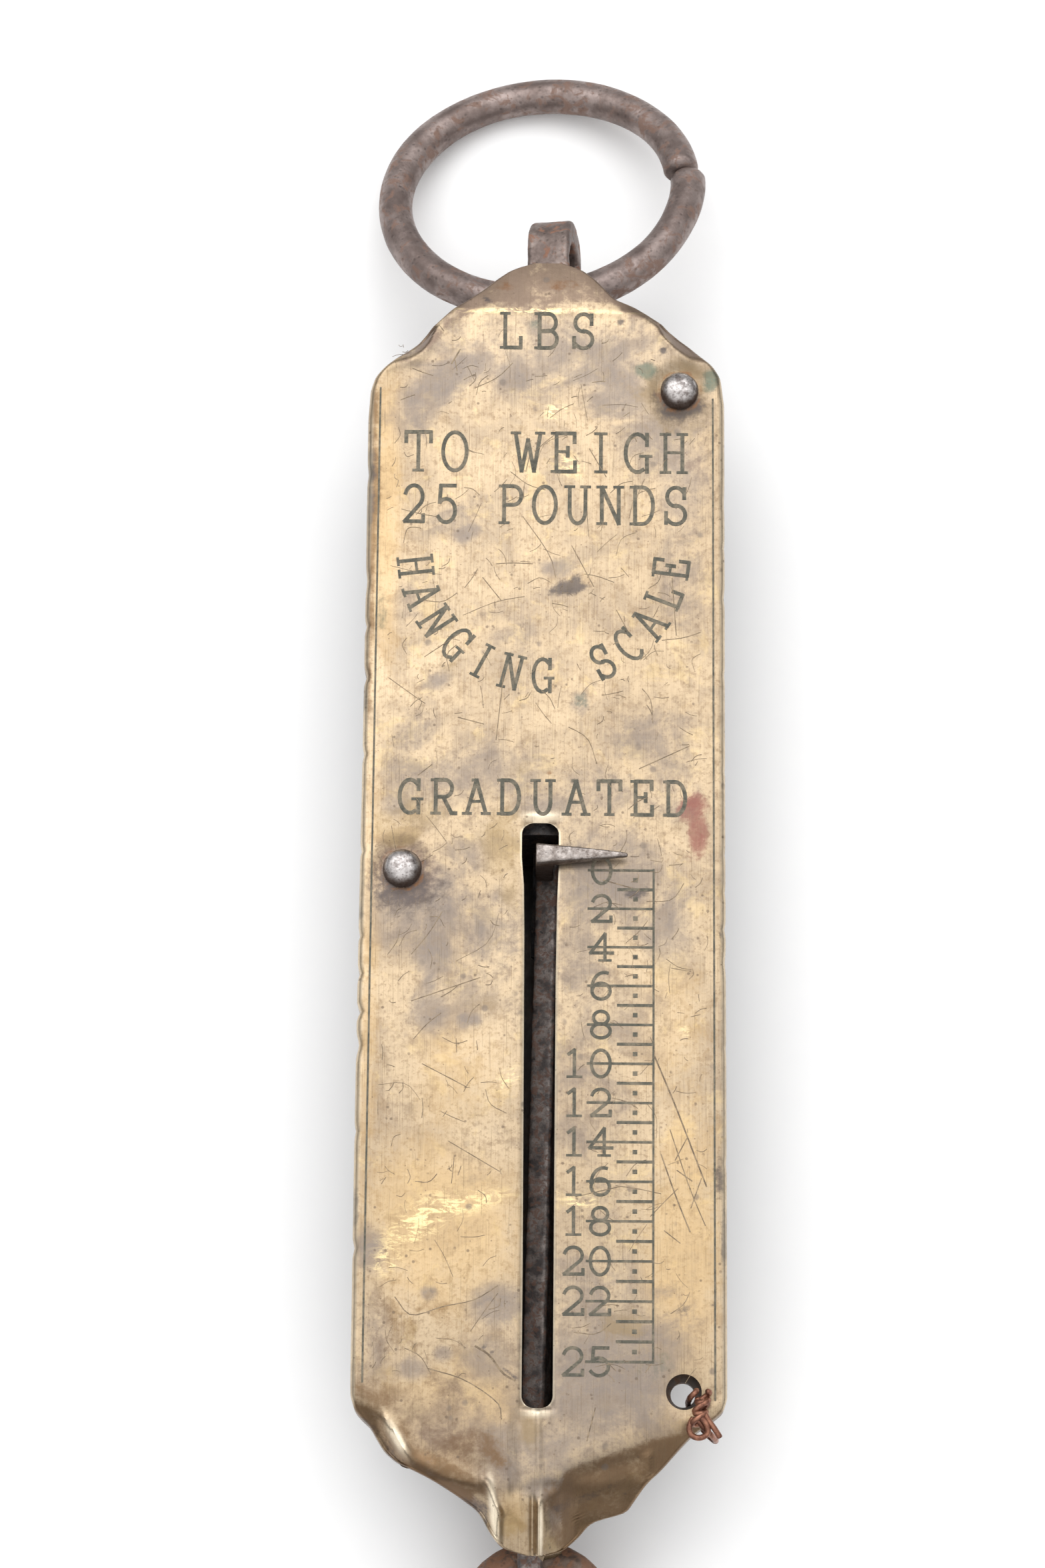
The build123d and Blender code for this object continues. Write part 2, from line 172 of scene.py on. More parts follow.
def scratches(surface, turn, length, width, rarity, shift):
    """Thin straight marks in one direction: noise stretched along them, cut high."""
    place = surface.stretched((1 / width, 1 / length, 0.0), turn, (shift, shift * 2, 0))
    return surface.step(surface.noise(1.0, 1.0, 0.4, place), rarity, rarity + 0.06)


# How each painted value looks, stains and painted shade alike: tint, reach, whether its edge fades slowly,
# whether it breaks into patches.
WASHES = (
    ("gold", (204, 170, 116), 0.45, True, True), ("grey", (129, 119, 112), 0.9, True, True),
    ("brown", (124, 106, 93), 0.9, False, False), ("olive", (148, 126, 88), 0.62, False, True),
    ("umber_and_shade", (112, 87, 62), 0.8, True, False), ("dark", (84, 78, 77), 0.85, False, False),
    ("rust", (122, 88, 62), 0.85, False, False), ("green", (84, 98, 88), 0.9, False, True),
    ("red", (124, 72, 68), 0.82, False, True))


def brass_material():
    """Brass gone brown and grey in patches, brushed lengthwise, with painted highlights on its edges and
    creases.
    """
    s = Surface("aged_brass", metallic=0.9, roughness=0.4)
    drift = s.noise(28.0, 3.0, 0.55)
    cloud = s.noise(7.0, 7.0, 0.66, distortion=0.6)
    spots = s.noise(1.7, 6.0, 0.7, distortion=0.3)
    fine = s.noise(0.5, 4.0, 0.7)
    grain = s.noise(1.0, 5.0, 0.7, s.stretched((7.0, 0.16, 1.0)))
    threads = s.noise(1.0, 4.0, 0.75, s.stretched((16.0, 0.3, 1.0), 1.5))
    base = s.mix(s.step(drift, 0.36, 0.62), (191, 170, 141), (177, 157, 130))
    base = s.mix(s.step(cloud, 0.42, 0.64, 0.0, 0.7), base, (152, 136, 119))
    base = s.mix(s.step(spots, 0.5, 0.66, 0.0, 0.65), base, (140, 119, 95))
    base = s.mix(s.step(fine, 0.5, 0.66, 0.0, 0.55), base, (122, 101, 78))
    rubbed = s.noise(3.4, 6.0, 0.7, distortion=0.4)
    base = s.mix(s.step(rubbed, 0.54, 0.66, 0.0, 0.5), base, (204, 180, 136))
    base = s.mix(s.step(grain, 0.4, 0.72, 0.0, 0.4), base, (206, 185, 152))
    base = s.mix(s.step(threads, 0.5, 0.72, 0.0, 0.3), base, (138, 116, 90))
    ragged = s.times(s.minus(cloud, 0.5), 1.7)
    ragged = s.plus(ragged, s.times(s.minus(spots, 0.5), 1.1))
    ragged = s.plus(ragged, s.times(s.minus(fine, 0.5), 0.5))
    patchy = s.step(s.plus(spots, s.times(fine, 0.5)), 0.6, 0.92, 1.0, 0.68)
    mottle = s.step(s.plus(cloud, spots), 0.8, 1.25, 0.65, 1.5)
    base = s.mix(s.times(s.painted("shade"), mottle), base, (118, 99, 78))
    for name, tint, reach, gradual, broken in WASHES:
        strength = s.painted(name)
        low, high = (0.1, 0.9) if gradual else (0.28, 0.85)
        mask = s.step(s.plus(strength, ragged), low, high, 0.0, reach)
        mask = s.times(mask, s.step(strength, 0.02, 0.25))
        base = s.mix(s.times(mask, patchy) if broken else mask, base, tint)
    # Paler where the bright value is painted: rubbed brass, partly painted glints and highlights.
    glints = s.noise(1.0, 5.0, 0.75, s.stretched((0.55, 1.5, 1.0), 20), 0.8)
    polish_and_glint = s.times(s.painted("bright"), s.step(glints, 0.46, 0.58))
    base = s.mix(polish_and_glint, base, (245, 221, 166))
    # Pale where the rim value is painted: painted highlights along the slot's rim, the long edges and the
    # creases of the lower end.
    base = s.mix(s.times(s.painted("rim_highlight"), s.step(spots, 0.3, 0.7, 1.0, 0.75)), base, (246, 232, 206))
    for size, rarity, tint in ((1.1, 0.5, (98, 84, 72)), (0.55, 0.54, (108, 90, 74)),
                               (2.6, 0.52, (112, 102, 94))):
        specks = s.step(s.cells(size), 0.19, 0.09)
        specks = s.times(specks, s.step(s.noise(size * 2, 2.0), rarity, rarity + 0.1))
        base = s.mix(s.times(specks, 0.65), base, tint)
    marks = scratches(s, 12, 7, 0.1, 0.68, 3)
    for directions in ((-38, 6, 0.09, 0.69, 11), (64, 5, 0.08, 0.69, 23), (-75, 8, 0.09, 0.69, 31)):
        marks = s.math("MAXIMUM", marks, scratches(s, *directions))
    base = s.mix(s.times(marks, 0.45), base, (112, 96, 74))
    rough = s.step(cloud, 0.3, 0.7, 0.3, 0.42)
    rough = s.plus(rough, s.times(s.painted("grey"), 0.05))
    rough = s.minus(rough, s.times(s.math("MAXIMUM", polish_and_glint, s.painted("rim_highlight")), 0.14))
    normal = s.bump(grain, 0.16, 0.05)
    normal = s.bump(s.minus(fine, s.times(marks, 0.4)), 0.22, 0.06, normal)
    return s.done(base, rough, normal)


def iron_material(name, dark, light, rust, rust_share, size=1.0, metallic=0.75):
    """Old iron: dark and worn patches, pits, and spots of rust."""
    s = Surface(name, metallic=metallic)
    patches = s.noise(3.5 * size, 5.0, 0.62)
    fine = s.noise(0.55 * size, 5.0, 0.7)
    pits = s.step(s.cells(0.7 * size), 0.32, 0.05)
    base = s.mix(s.step(patches, 0.38, 0.62), dark, light)
    base = s.mix(s.step(fine, 0.5, 0.72, 0.0, 0.7), base, dark)
    spots = s.plus(s.noise(1.6 * size, 5.0, 0.65, distortion=0.8), s.times(patches, 0.35))
    edge = 0.86 - rust_share
    rusty = s.step(spots, edge, edge + 0.12)
    base = s.mix(s.times(rusty, 0.8), base, rust)
    base = s.mix(s.times(pits, 0.35), base, tuple(int(v * 0.5) for v in dark))
    rough = s.plus(s.step(fine, 0.3, 0.7, 0.34, 0.55), s.times(rusty, 0.22))
    height = s.minus(fine, s.times(pits, 0.6))
    height = s.plus(height, s.times(rusty, 0.25))
    return s.done(base, rough, s.bump(height, 0.45, 0.07 * size),
                  s.minus(metallic, s.times(rusty, 0.5)))


def worn_steel_material(name, light, shade):
    """Bright steel with a peppering of dark pits."""
    s = Surface(name, metallic=0.85)
    cloud = s.noise(0.8, 5.0, 0.65)
    pepper = s.step(s.noise(0.22, 3.0, 0.6), 0.55, 0.68)
    pits = s.step(s.cells(0.45), 0.3, 0.08)
    base = s.mix(s.step(cloud, 0.35, 0.68), light, shade)
    base = s.mix(s.times(pepper, 0.55), base, (96, 88, 84))
    base = s.mix(s.times(pits, 0.45), base, (78, 66, 60))
    # Brown where the dark value is painted: painted shade on the low sides of the rivets and the pointer,
    # with rust at the rivet rims.
    base = s.mix(s.times(s.painted("dark"), 0.85), base, (80, 62, 52))
    rough = s.plus(s.step(cloud, 0.3, 0.7, 0.26, 0.42), s.times(s.painted("dark"), 0.3))
    height = s.minus(cloud, s.times(pits, 0.7))
    return s.done(base, rough, s.bump(height, 0.5, 0.06))


def copper_material():
    """Copper gone dull, with the marks of drawing."""
    s = Surface("dull_copper", metallic=0.8)
    cloud = s.noise(0.8, 4.0, 0.6)
    drawn = s.noise(0.25, 3.0, 0.6)
    base = s.mix(s.step(cloud, 0.35, 0.65), (162, 114, 92), (116, 78, 64))
    base = s.mix(s.step(drawn, 0.56, 0.7, 0.0, 0.6), base, (96, 62, 54))
    return s.done(base, s.step(cloud, 0.3, 0.7, 0.3, 0.5), s.bump(drawn, 0.4, 0.03))


def japanned_material():
    """Iron sheet with a thin black stoving varnish, worn brown in patches."""
    s = Surface("worn_black_japan", metallic=0.25)
    patches = s.noise(9.0, 6.0, 0.62, distortion=0.6)
    fine = s.noise(0.7, 5.0, 0.7)
    drag = s.noise(1.0, 4.0, 0.7, s.stretched((5.0, 0.12, 5.0)))
    base = s.mix(s.step(patches, 0.42, 0.6), (58, 53, 51), (84, 72, 64))
    worn = s.step(s.plus(patches, s.times(fine, 0.3)), 0.72, 0.82)
    base = s.mix(s.times(worn, 0.85), base, (124, 94, 72))
    base = s.mix(s.step(drag, 0.55, 0.75, 0.0, 0.4), base, (112, 102, 96))
    rough = s.plus(s.step(fine, 0.3, 0.7, 0.36, 0.52), s.times(worn, 0.25))
    height = s.plus(s.times(fine, 0.6), s.times(worn, -0.5))
    return s.done(base, rough, s.bump(height, 0.35, 0.06))


def engraving_material():
    """The dark filling of the letters and lines, partly worn out."""
    s = Surface("filled_engraving", metallic=0.25)
    worn = s.noise(1.3, 4.0, 0.65)
    fine = s.noise(0.3, 3.0, 0.6)
    base = s.mix(s.step(worn, 0.4, 0.66), (86, 84, 73), (122, 113, 96))
    base = s.mix(s.step(fine, 0.5, 0.7, 0.0, 0.5), base, (68, 66, 60))
    return s.done(base, s.step(fine, 0.3, 0.7, 0.5, 0.7), s.bump(fine, 0.3, 0.03))


def scratch_material():
    """The dull floor of a scratch."""
    s = Surface("dark_scratches", metallic=0.6)
    worn = s.noise(0.8, 3.0, 0.6)
    base = s.mix(s.step(worn, 0.4, 0.62), (104, 90, 74), (150, 132, 108))
    return s.done(base, s.step(worn, 0.3, 0.7, 0.4, 0.6), s.bump(worn, 0.2, 0.02))


def floor_material():
    """A pale matt table top."""
    s = Surface("pale_table", roughness=0.65)
    weave = s.noise(3.0, 4.0, 0.6)
    base = s.mix(s.step(weave, 0.4, 0.6, 0.0, 0.25), (251, 251, 251), (248, 248, 249))
    return s.done(base, None, s.bump(weave, 0.12, 0.2))


# ---------------------------------------------------------------- mesh helpers
def piece_from(name, points, faces, material, smooth=True):
    """A mesh object from points in millimetres."""
    mesh = bpy.data.meshes.new(name)
    mesh.from_pydata([tuple(float(v) * MM for v in p) for p in points], [], faces)
    mesh.update()
    return finish_piece(name, mesh, material, smooth)


def finish_piece(name, mesh, material, smooth=True):
    """Links the mesh as a new object with its material, with smooth or flat shading."""
    made = bpy.data.objects.new(name, mesh)
    scene.collection.objects.link(made)
    mesh.materials.clear()
    mesh.materials.append(material)
    mesh.polygons.foreach_set("use_smooth", [smooth] * len(mesh.polygons))
    return made


def evaluated_mesh(made):
    """A new mesh of an object with its modifiers or its curve settings worked out."""
    depsgraph = bpy.context.evaluated_depsgraph_get()
    return bpy.data.meshes.new_from_object(made.evaluated_get(depsgraph))


def apply_modifiers(piece):
    """Makes the piece's modifiers part of its mesh."""
    mesh = evaluated_mesh(piece)
    piece.modifiers.clear()
    piece.data = mesh


def edit_mesh(piece, change):
    """Runs one change on the piece's mesh."""
    mesh = bmesh.new()
    mesh.from_mesh(piece.data)
    change(mesh)
    mesh.to_mesh(piece.data)
    mesh.free()


def points_of(piece):
    """The piece's points as rows of x, y, z in millimetres."""
    co = np.zeros(len(piece.data.vertices) * 3)
    piece.data.vertices.foreach_get("co", co)
    return co.reshape(-1, 3) / MM


def paint(piece, name, values):
    """Stores one value from 0 to 1 at each point, for a material to read."""
    layer = piece.data.attributes.new(name, "FLOAT", "POINT")
    layer.data.foreach_set("value", np.clip(values, 0, 1).astype(np.float32))


def roughen(piece, size, amount, seed):
    """Moves each point along its normal by noise, for forged and worn surfaces."""
    shift = Vector((seed, seed * 1.7, -seed))
    normals = [v.normal.copy() for v in piece.data.vertices]
    for vertex, normal in zip(piece.data.vertices, normals):
        here = vertex.co / MM
        lump = noise.noise(here / size + shift) + 0.45 * noise.noise(here / (size * 0.37) - shift)
        vertex.co += normal * lump * amount * MM
    piece.data.update()


def tube(name, path, radii, material, sides):
    """A round bar along a list of points, with a radius at each point and flat ends."""
    path = [Vector(p) for p in path]
    tangents = [(path[min(i + 1, len(path) - 1)] - path[max(i - 1, 0)]).normalized()
                for i in range(len(path))]
    side = tangents[0].orthogonal().normalized()
    points, rows = [], []
    for here, along, radius in zip(path, tangents, radii):
        side = (side - along * side.dot(along)).normalized()
        other = along.cross(side)
        rows.append(len(points))
        for k in range(sides):
            angle = 2 * math.pi * k / sides
            points.append(here + (side * math.cos(angle) + other * math.sin(angle)) * radius)
    faces = []
    for a, b in zip(rows, rows[1:]):
        for k in range(sides):
            n = (k + 1) % sides
            faces.append((a + k, a + n, b + n, b + k))
    faces.append(tuple(range(rows[0] + sides - 1, rows[0] - 1, -1)))
    faces.append(tuple(range(rows[-1], rows[-1] + sides)))
    return piece_from(name, points, faces, material)


def rounded_ends(count, radius, step, corner):
    """Radii along a bar whose two ends are rounded off."""
    distance = np.minimum(np.arange(count), np.arange(count)[::-1]) * step
    inside = np.clip(corner - distance, 0, corner)
    return radius - corner + np.sqrt(np.maximum(corner ** 2 - inside ** 2, 0))


def arc(cx, cy, rx, ry, start, end, count=14):
    """Flat points round part of an ellipse, angles in degrees."""
    angles = np.radians(np.linspace(start, end, count))
    return [(cx + rx * math.cos(a), cy + ry * math.sin(a)) for a in angles]


def profile_solid(name, outer, holes, half_width, bevel, material):
    """A flat profile in the YZ plane, with holes, made thick along X with rounded edges."""
    curve = bpy.data.curves.new(name, "CURVE")
    curve.dimensions = "2D"
    curve.fill_mode = "BOTH"
    curve.extrude = (half_width - bevel) * MM
    curve.bevel_depth = bevel * MM
    curve.bevel_resolution = 3
    curve.offset = -bevel * MM
    for loop in (outer, *holes):
        spline = curve.splines.new("POLY")
        spline.points.add(len(loop) - 1)
        for point, (y, z) in zip(spline.points, loop):
            point.co = (y * MM, z * MM, 0, 1)
        spline.use_cyclic_u = True
    holder = bpy.data.objects.new(name + "_curve", curve)
    scene.collection.objects.link(holder)
    mesh = evaluated_mesh(holder)
    bpy.data.objects.remove(holder)
    mesh.transform(Matrix(((0, 0, 1, 0), (1, 0, 0, 0), (0, 1, 0, 0), (0, 0, 0, 1))))  # XY to YZ
    return finish_piece(name, mesh, material)


def remesh(piece, voxel):
    """Turns a piece built from simple solids into one even skin with softened edges."""
    modifier = piece.modifiers.new("voxels", "REMESH")
    modifier.mode = "VOXEL"
    modifier.voxel_size = voxel * MM
    modifier.use_smooth_shade = True
    smooth = piece.modifiers.new("smooth", "SMOOTH")
    smooth.iterations = 3
    smooth.factor = 0.5
    apply_modifiers(piece)


def even(path, step):
    """The same path with evenly spaced points."""
    path = np.array(path, float)
    lengths = np.concatenate([[0], np.cumsum(np.linalg.norm(np.diff(path, axis=0), axis=1))])
    places = np.linspace(0, lengths[-1], int(lengths[-1] / step) + 1)
    return [tuple(np.interp(p, lengths, path[:, k]) for k in range(3)) for p in places]


def smooth_route(points):
    """A smooth line through the given points."""
    points = [np.array(p, float) for p in points]
    padded = [2 * points[0] - points[1], *points, 2 * points[-1] - points[-2]]
    result = []
    for a, b, c, d in zip(padded, padded[1:], padded[2:], padded[3:]):
        for t in np.linspace(0, 1, 10, endpoint=False):
            result.append(0.5 * (2 * b + (c - a) * t + (2 * a - 5 * b + 4 * c - d) * t ** 2
                                 + (3 * b - a - 3 * c + d) * t ** 3))
    result.append(points[-1])
    return [tuple(p) for p in result]


# ---------------------------------------------------------------- the brass face
# The outline of the face: the places of its two sides, as (y, x), from the lower end to the top.
LEFT_SIDE = (
    (-68.5, -0.5), (-68.35, -1.9), (-68, -3.2), (-67.2, -4.2), (-66.1, -4.9), (-64.7, -5.6),
    (-63.9, -6.2), (-62.7, -8), (-61.5, -10.1), (-60.4, -12.2), (-59.5, -14.1), (-58.2, -15.5),
    (-57.1, -16.2), (-55.7, -17), (-55.3, -17.6), (-54.3, -18.5), (-53, -18.95), (-51.5, -19),
    (51.2, -19), (54.5, -18.8), (56, -18.3), (57, -17.4), (57.7, -16.6), (58.4, -15.9), (59.6, -14.3),
    (61, -13), (62.4, -11.5), (63.9, -10), (64.9, -8.6), (66.2, -6.9), (67.5, -5.5), (68.7, -3.9),
    (69.4, -2.1), (69.62, -0.9))
RIGHT_SIDE = (
    (-68.5, 0.4), (-68.35, 1.4), (-67.8, 2.6), (-66.3, 4.2), (-65.1, 5.2), (-64.5, 6.4), (-64.25, 8),
    (-63.9, 9), (-62.9, 9.7), (-61.3, 10.9), (-59.8, 12.5), (-58.1, 14), (-56.6, 15.4), (-55.3, 17.2),
    (-54.2, 18.6), (-52.9, 19), (-51.2, 19), (53.5, 19), (56.2, 18.6), (57.5, 17.8), (58.4, 16.8),
    (59.9, 15.4), (61.2, 13.8), (62.6, 12), (63.4, 10.7), (64.4, 9.3), (64.9, 7.5), (66.2, 6.4),
    (67.6, 5.2), (68.9, 3.6), (69.45, 2), (69.62, 0.9))
# The lines where the flat of the face ends, and how steeply it falls beyond them, across the width.
TOP_RIDGE = (
    (-19, 57.9), (-17.1, 57.5), (-16, 57.7), (-14.5, 58.2), (-13.4, 58.8), (-12.6, 59.9), (-11.9, 61.6),
    (-10.8, 63), (-9.4, 63.8), (-5, 64.1), (0, 64.2), (5, 64.1), (7.7, 63.7), (10.4, 62.9), (12, 61.8),
    (12.7, 60.5), (13.9, 59.3), (15.5, 58.35), (17, 57.9), (19, 57.4))
TOP_FALL = (
    (-19, 0.9), (-11.5, 0.9), (-9.6, 0.3), (-4, 0.17), (4, 0.17), (8, 0.26), (11, 0.8), (19, 0.9))
LOW_RIDGE = (
    (-19, -52.8), (-17.3, -53.7), (-16, -54.5), (-14.9, -55.8), (-13.2, -58.6), (-12.4, -59.5),
    (-10.8, -60.2), (-7.7, -61.4), (-5.5, -61.8), (-4.4, -61.9), (0.3, -61.8), (1.8, -60.6), (3.5, -59.4),
    (7.1, -58.1), (10.8, -56.9), (14.5, -56), (17, -54.8), (19, -53.2))
LOW_FALL = (
    (-19, 0.75), (-15, 0.85), (-12.5, 0.9), (-6, 0.85), (-4.6, 0.36), (0.3, 0.34), (2.5, 0.58),
    (10, 0.62), (14, 0.6), (19, 0.6))
# How softly the lower ridge turns, across the width.
LOW_SOFTNESS = ((-14, 0.3), (-6, 0.25), (0, 0.2), (3, 0.3))
# Raised and sunken lines: start, end, height, half width.
BEADS = (
    ((-9.6, 63.4), (-12.2, 60.9), 0.1, 0.7), ((-12.6, 59.6), (-14.2, 57.8), 0.16, 0.7),
    ((-14.2, 57.8), (-17.4, 57), 0.12, 0.6), ((-8.5, 63.6), (8, 63.4), 0.07, 0.4),
    ((-15.5, -55.4), (-13.4, -58.5), 0.4, 0.5), ((-13.4, -58.5), (-10.4, -60.2), 0.12, 0.5),
    ((-12.4, -55.4), (-11.8, -58.6), -0.16, 1.1), ((-9, -58.6), (-5.4, -60.2), -0.1, 1),
    ((-5.1, -61.6), (-3.9, -64.4), 0.42, 0.42), ((-3.9, -64.4), (-4, -68.2), 0.5, 0.4),
    ((0.12, -63.6), (0.16, -68.6), 0.42, 0.3), ((-0.55, -62.8), (-0.5, -68.6), -0.28, 0.28),
    ((0, -54.6), (0.1, -60.6), 0.14, 0.35), ((-1.9, -55.2), (-1.7, -60.8), -0.2, 0.7),
    ((-3.2, -55), (-3.1, -64), 0.1, 0.3), ((-2.3, -62.2), (0.9, -61.9), -0.34, 0.7),
    ((1, -62.6), (2.2, -62.4), 0.14, 0.45), ((11, -58.6), (11.1, -61.6), 0.26, 0.32),
    ((1.2, -64), (1.5, -65.6), 0.16, 0.45), ((12.2, 60.8), (15.2, 57.9), 0.16, 0.4),
    ((15, -54.4), (18.4, -52.4), -0.14, 0.8), ((4.5, -60.4), (9.5, -59.2), -0.12, 0.8))
# Dents and bumps: x, y, half width, height.
DENTS = (
    (-17.2, 54, 1.6, -0.12), (-8, 63.6, 1.2, -0.15), (7.8, 62.4, 0.35, -0.08), (12.5, 59.1, 0.35, -0.07),
    (16.6, 56, 1.4, -0.1), (-9.6, 25.6, 2.2, -0.05), (6.6, 21, 3, 0.05), (3, -51, 1.8, -0.05),
    (-8, -20, 4, 0.05), (2.3, 32.6, 0.5, 0.1), (-13, -38, 3, -0.05), (13.5, -30, 3, 0.04),
    (-4, -43.8, 2.5, -0.05), (17.8, -2.5, 0.5, -0.06), (9, -62, 1, -0.15), (5.5, -60.8, 1.5, -0.12))
# Nicks in the long edges: y, depth, half length.
NICKS = (
    (22.5, 0.3, 0.7), (14, 0.2, 0.5), (-9.5, 0.25, 0.5), (-13.5, 0.4, 0.5), (-17, 0.3, 0.9),
    (33, 0.15, 1.2), (-38, 0.2, 0.6), (3.6, 0.15, 0.4), (28, 0.2, 0.5), (45, 0.15, 0.8), (-5.4, 0.2, 0.4),
    (-26, 0.15, 0.5))
# The columns of the face: from a side to the slot, across the slot, round a fold, and down a folded wall.
SIDE_STEPS = 1 - (1 - np.linspace(0, 1, 58)) ** 1.25
MIDDLE_STEPS = np.linspace(0, 1, 12)[1:-1]
BENDS = np.radians(np.linspace(90, 0, 7))[1:]
SKIRT = (0.34, 0.67, 1.0)


def along(points, value):
    """Reads a line given as (position, value) pairs."""
    xs, ys = zip(*points)
    return np.interp(value, xs, ys)


def ramp(value, start, length):
    """0 before the start, rising evenly to 1 over the length."""
    return np.clip((value - start) / length, 0, 1)


def plateau(value, low, rise, high, fall):
    """1 between two ends, with a slope just inside each of them."""
    return ramp(value, low, rise) * ramp(-value, -high, fall)


def soft_above(value, soft):
    """The part of a value above zero, with a soft corner."""
    return soft * np.logaddexp(0, value / soft)


def segment_distance(x, y, start, end):
    """Distance to a straight line between two points."""
    (ax, ay), (bx, by) = start, end
    length = (bx - ax) ** 2 + (by - ay) ** 2
    t = np.clip(((x - ax) * (bx - ax) + (y - ay) * (by - ay)) / length, 0, 1)
    return np.hypot(x - ax - t * (bx - ax), y - ay - t * (by - ay))


def outside_slot(x, y, left, right):
    """How far a place is outside the slot's outline; negative inside it."""
    return np.maximum(np.maximum(left - x, x - right), np.maximum(y - SLOT_TOP, SLOT_LOW - y))


def waves(x, y):
    """The slow unevenness of a hand-finished sheet."""
    return (0.035 * np.sin(x / 5.3 + 0.7) * np.sin(y / 11.0) + 0.03 * np.sin(y / 6.1 + x / 9.0)
            + 0.012 * np.sin(x / 1.9 + y / 3.1) * np.sin(y / 2.7 - x / 4.0))


def face_height(x, y):
    """Height of the brass above its flat, in millimetres, at a place on the face."""
    x, y = np.asarray(x, float), np.asarray(y, float)
    top = along(TOP_FALL, x) * soft_above(y - along(TOP_RIDGE, x), 0.16)
    top += 0.012 * soft_above(y - 64.0, 0.5) ** 2 + 0.0035 * x ** 2 * ramp(y, 63.4, 6)
    low = along(LOW_FALL, x) * soft_above(along(LOW_RIDGE, x) - y, along(LOW_SOFTNESS, x))
    lip = ramp(-y, 61.0, 4.5)
    lip = lip * lip * (3 - 2 * lip)
    right = np.minimum(x, 4)
    low += lip * (0.9 * soft_above(-4.2 - x, 0.2) + 0.1 * soft_above(right - 0.3, 0.2)
                  + 0.6 * soft_above(right - 1.9, 0.5))
    height = waves(x, y) - top - low
    for start, end, rise, width in BEADS:
        height += rise * np.exp(-(segment_distance(x, y, start, end) / width) ** 2)
    for dx, dy, width, rise in DENTS:
        height += rise * np.exp(-((x - dx) ** 2 + (y - dy) ** 2) / width ** 2)
    for rx, ry in RIVETS:
        away = np.hypot(x - rx, y - ry)
        height += -0.22 * np.exp(-((away - 2.2) / 0.8) ** 2) + 0.05 * np.exp(-((away - 3.7) / 0.7) ** 2)
    away = np.hypot(x - OPEN_HOLE[0], y - OPEN_HOLE[1])
    height -= 0.12 * soft_above(2.5 - away, 0.12)
    away = outside_slot(x, y, SLOT_LEFT, SLOT_RIGHT)
    height -= 0.55 * soft_above(0.28 - away, 0.06) * (away > -0.6)
    return height


def nicks(y, shift):
    """Small irregularities of the long edges; the shift moves them along."""
    pattern = np.sin(y / 13.0 + shift / 9) * 0.04
    for place, deep, long in NICKS:
        pattern += deep * np.exp(-((y - place - shift) / long) ** 2)
    return pattern


def smoothed(values, positions, reach):
    """Values along a line, with corners eased over a short reach."""
    result = np.zeros_like(values)
    for shift in (-reach, -reach / 2, 0, reach / 2, reach):
        result += np.interp(positions + shift, positions, values) / 5
    return result


def slot_edges(y):
    """The two sides of the slot at a height, with its rounded corners; beyond its ends they stay put."""
    into = np.maximum(y - (SLOT_TOP - SLOT_CORNER), (SLOT_LOW + SLOT_CORNER) - y)
    into = np.clip(into, 0, SLOT_CORNER)
    ease = SLOT_CORNER - np.sqrt(np.maximum(SLOT_CORNER ** 2 - into ** 2, 0))
    left = np.interp(y, (-40, -5, 0, 3), (-1.72, -1.86, -1.95, -2.2)) + ease
    right = np.interp(y, (-10, -2, 2), (1.42, 1.5, 1.65)) - ease
    return left, right


def face_rows():
    """Heights of the rows of points: close together where the outline or the slot turns."""
    low, high = LEFT_SIDE[0][0], LEFT_SIDE[-1][0]
    fine, medium, coarse = 0.12, 0.28, 0.5
    turn = SLOT_CORNER * (1 - np.cos(np.radians(np.linspace(0, 90, 9))))
    ends = np.concatenate([SLOT_TOP - turn, SLOT_LOW + turn])
    hole = OPEN_HOLE[1] + np.arange(-2.4, 2.5, 0.2)
    stretches = ((low, low + 1.2, fine), (low + 1.2, -52, medium), (-52, 55, coarse),
                 (55, 67.5, medium), (67.5, high, fine))
    rows = [np.arange(*stretch) for stretch in stretches]
    ys = np.unique(np.round(np.concatenate([*rows, [high], ends, hole]), 4))
    closest = 0.09
    keep = [ys[0]]
    for y in ys[1:]:
        close = y - keep[-1] <= closest
        needed = np.min(np.abs(y - ends)) < 1e-3
        if close and not needed:
            continue
        if close and np.min(np.abs(keep[-1] - ends)) > 1e-3:
            keep.pop()
        keep.append(y)
    return np.array(keep)


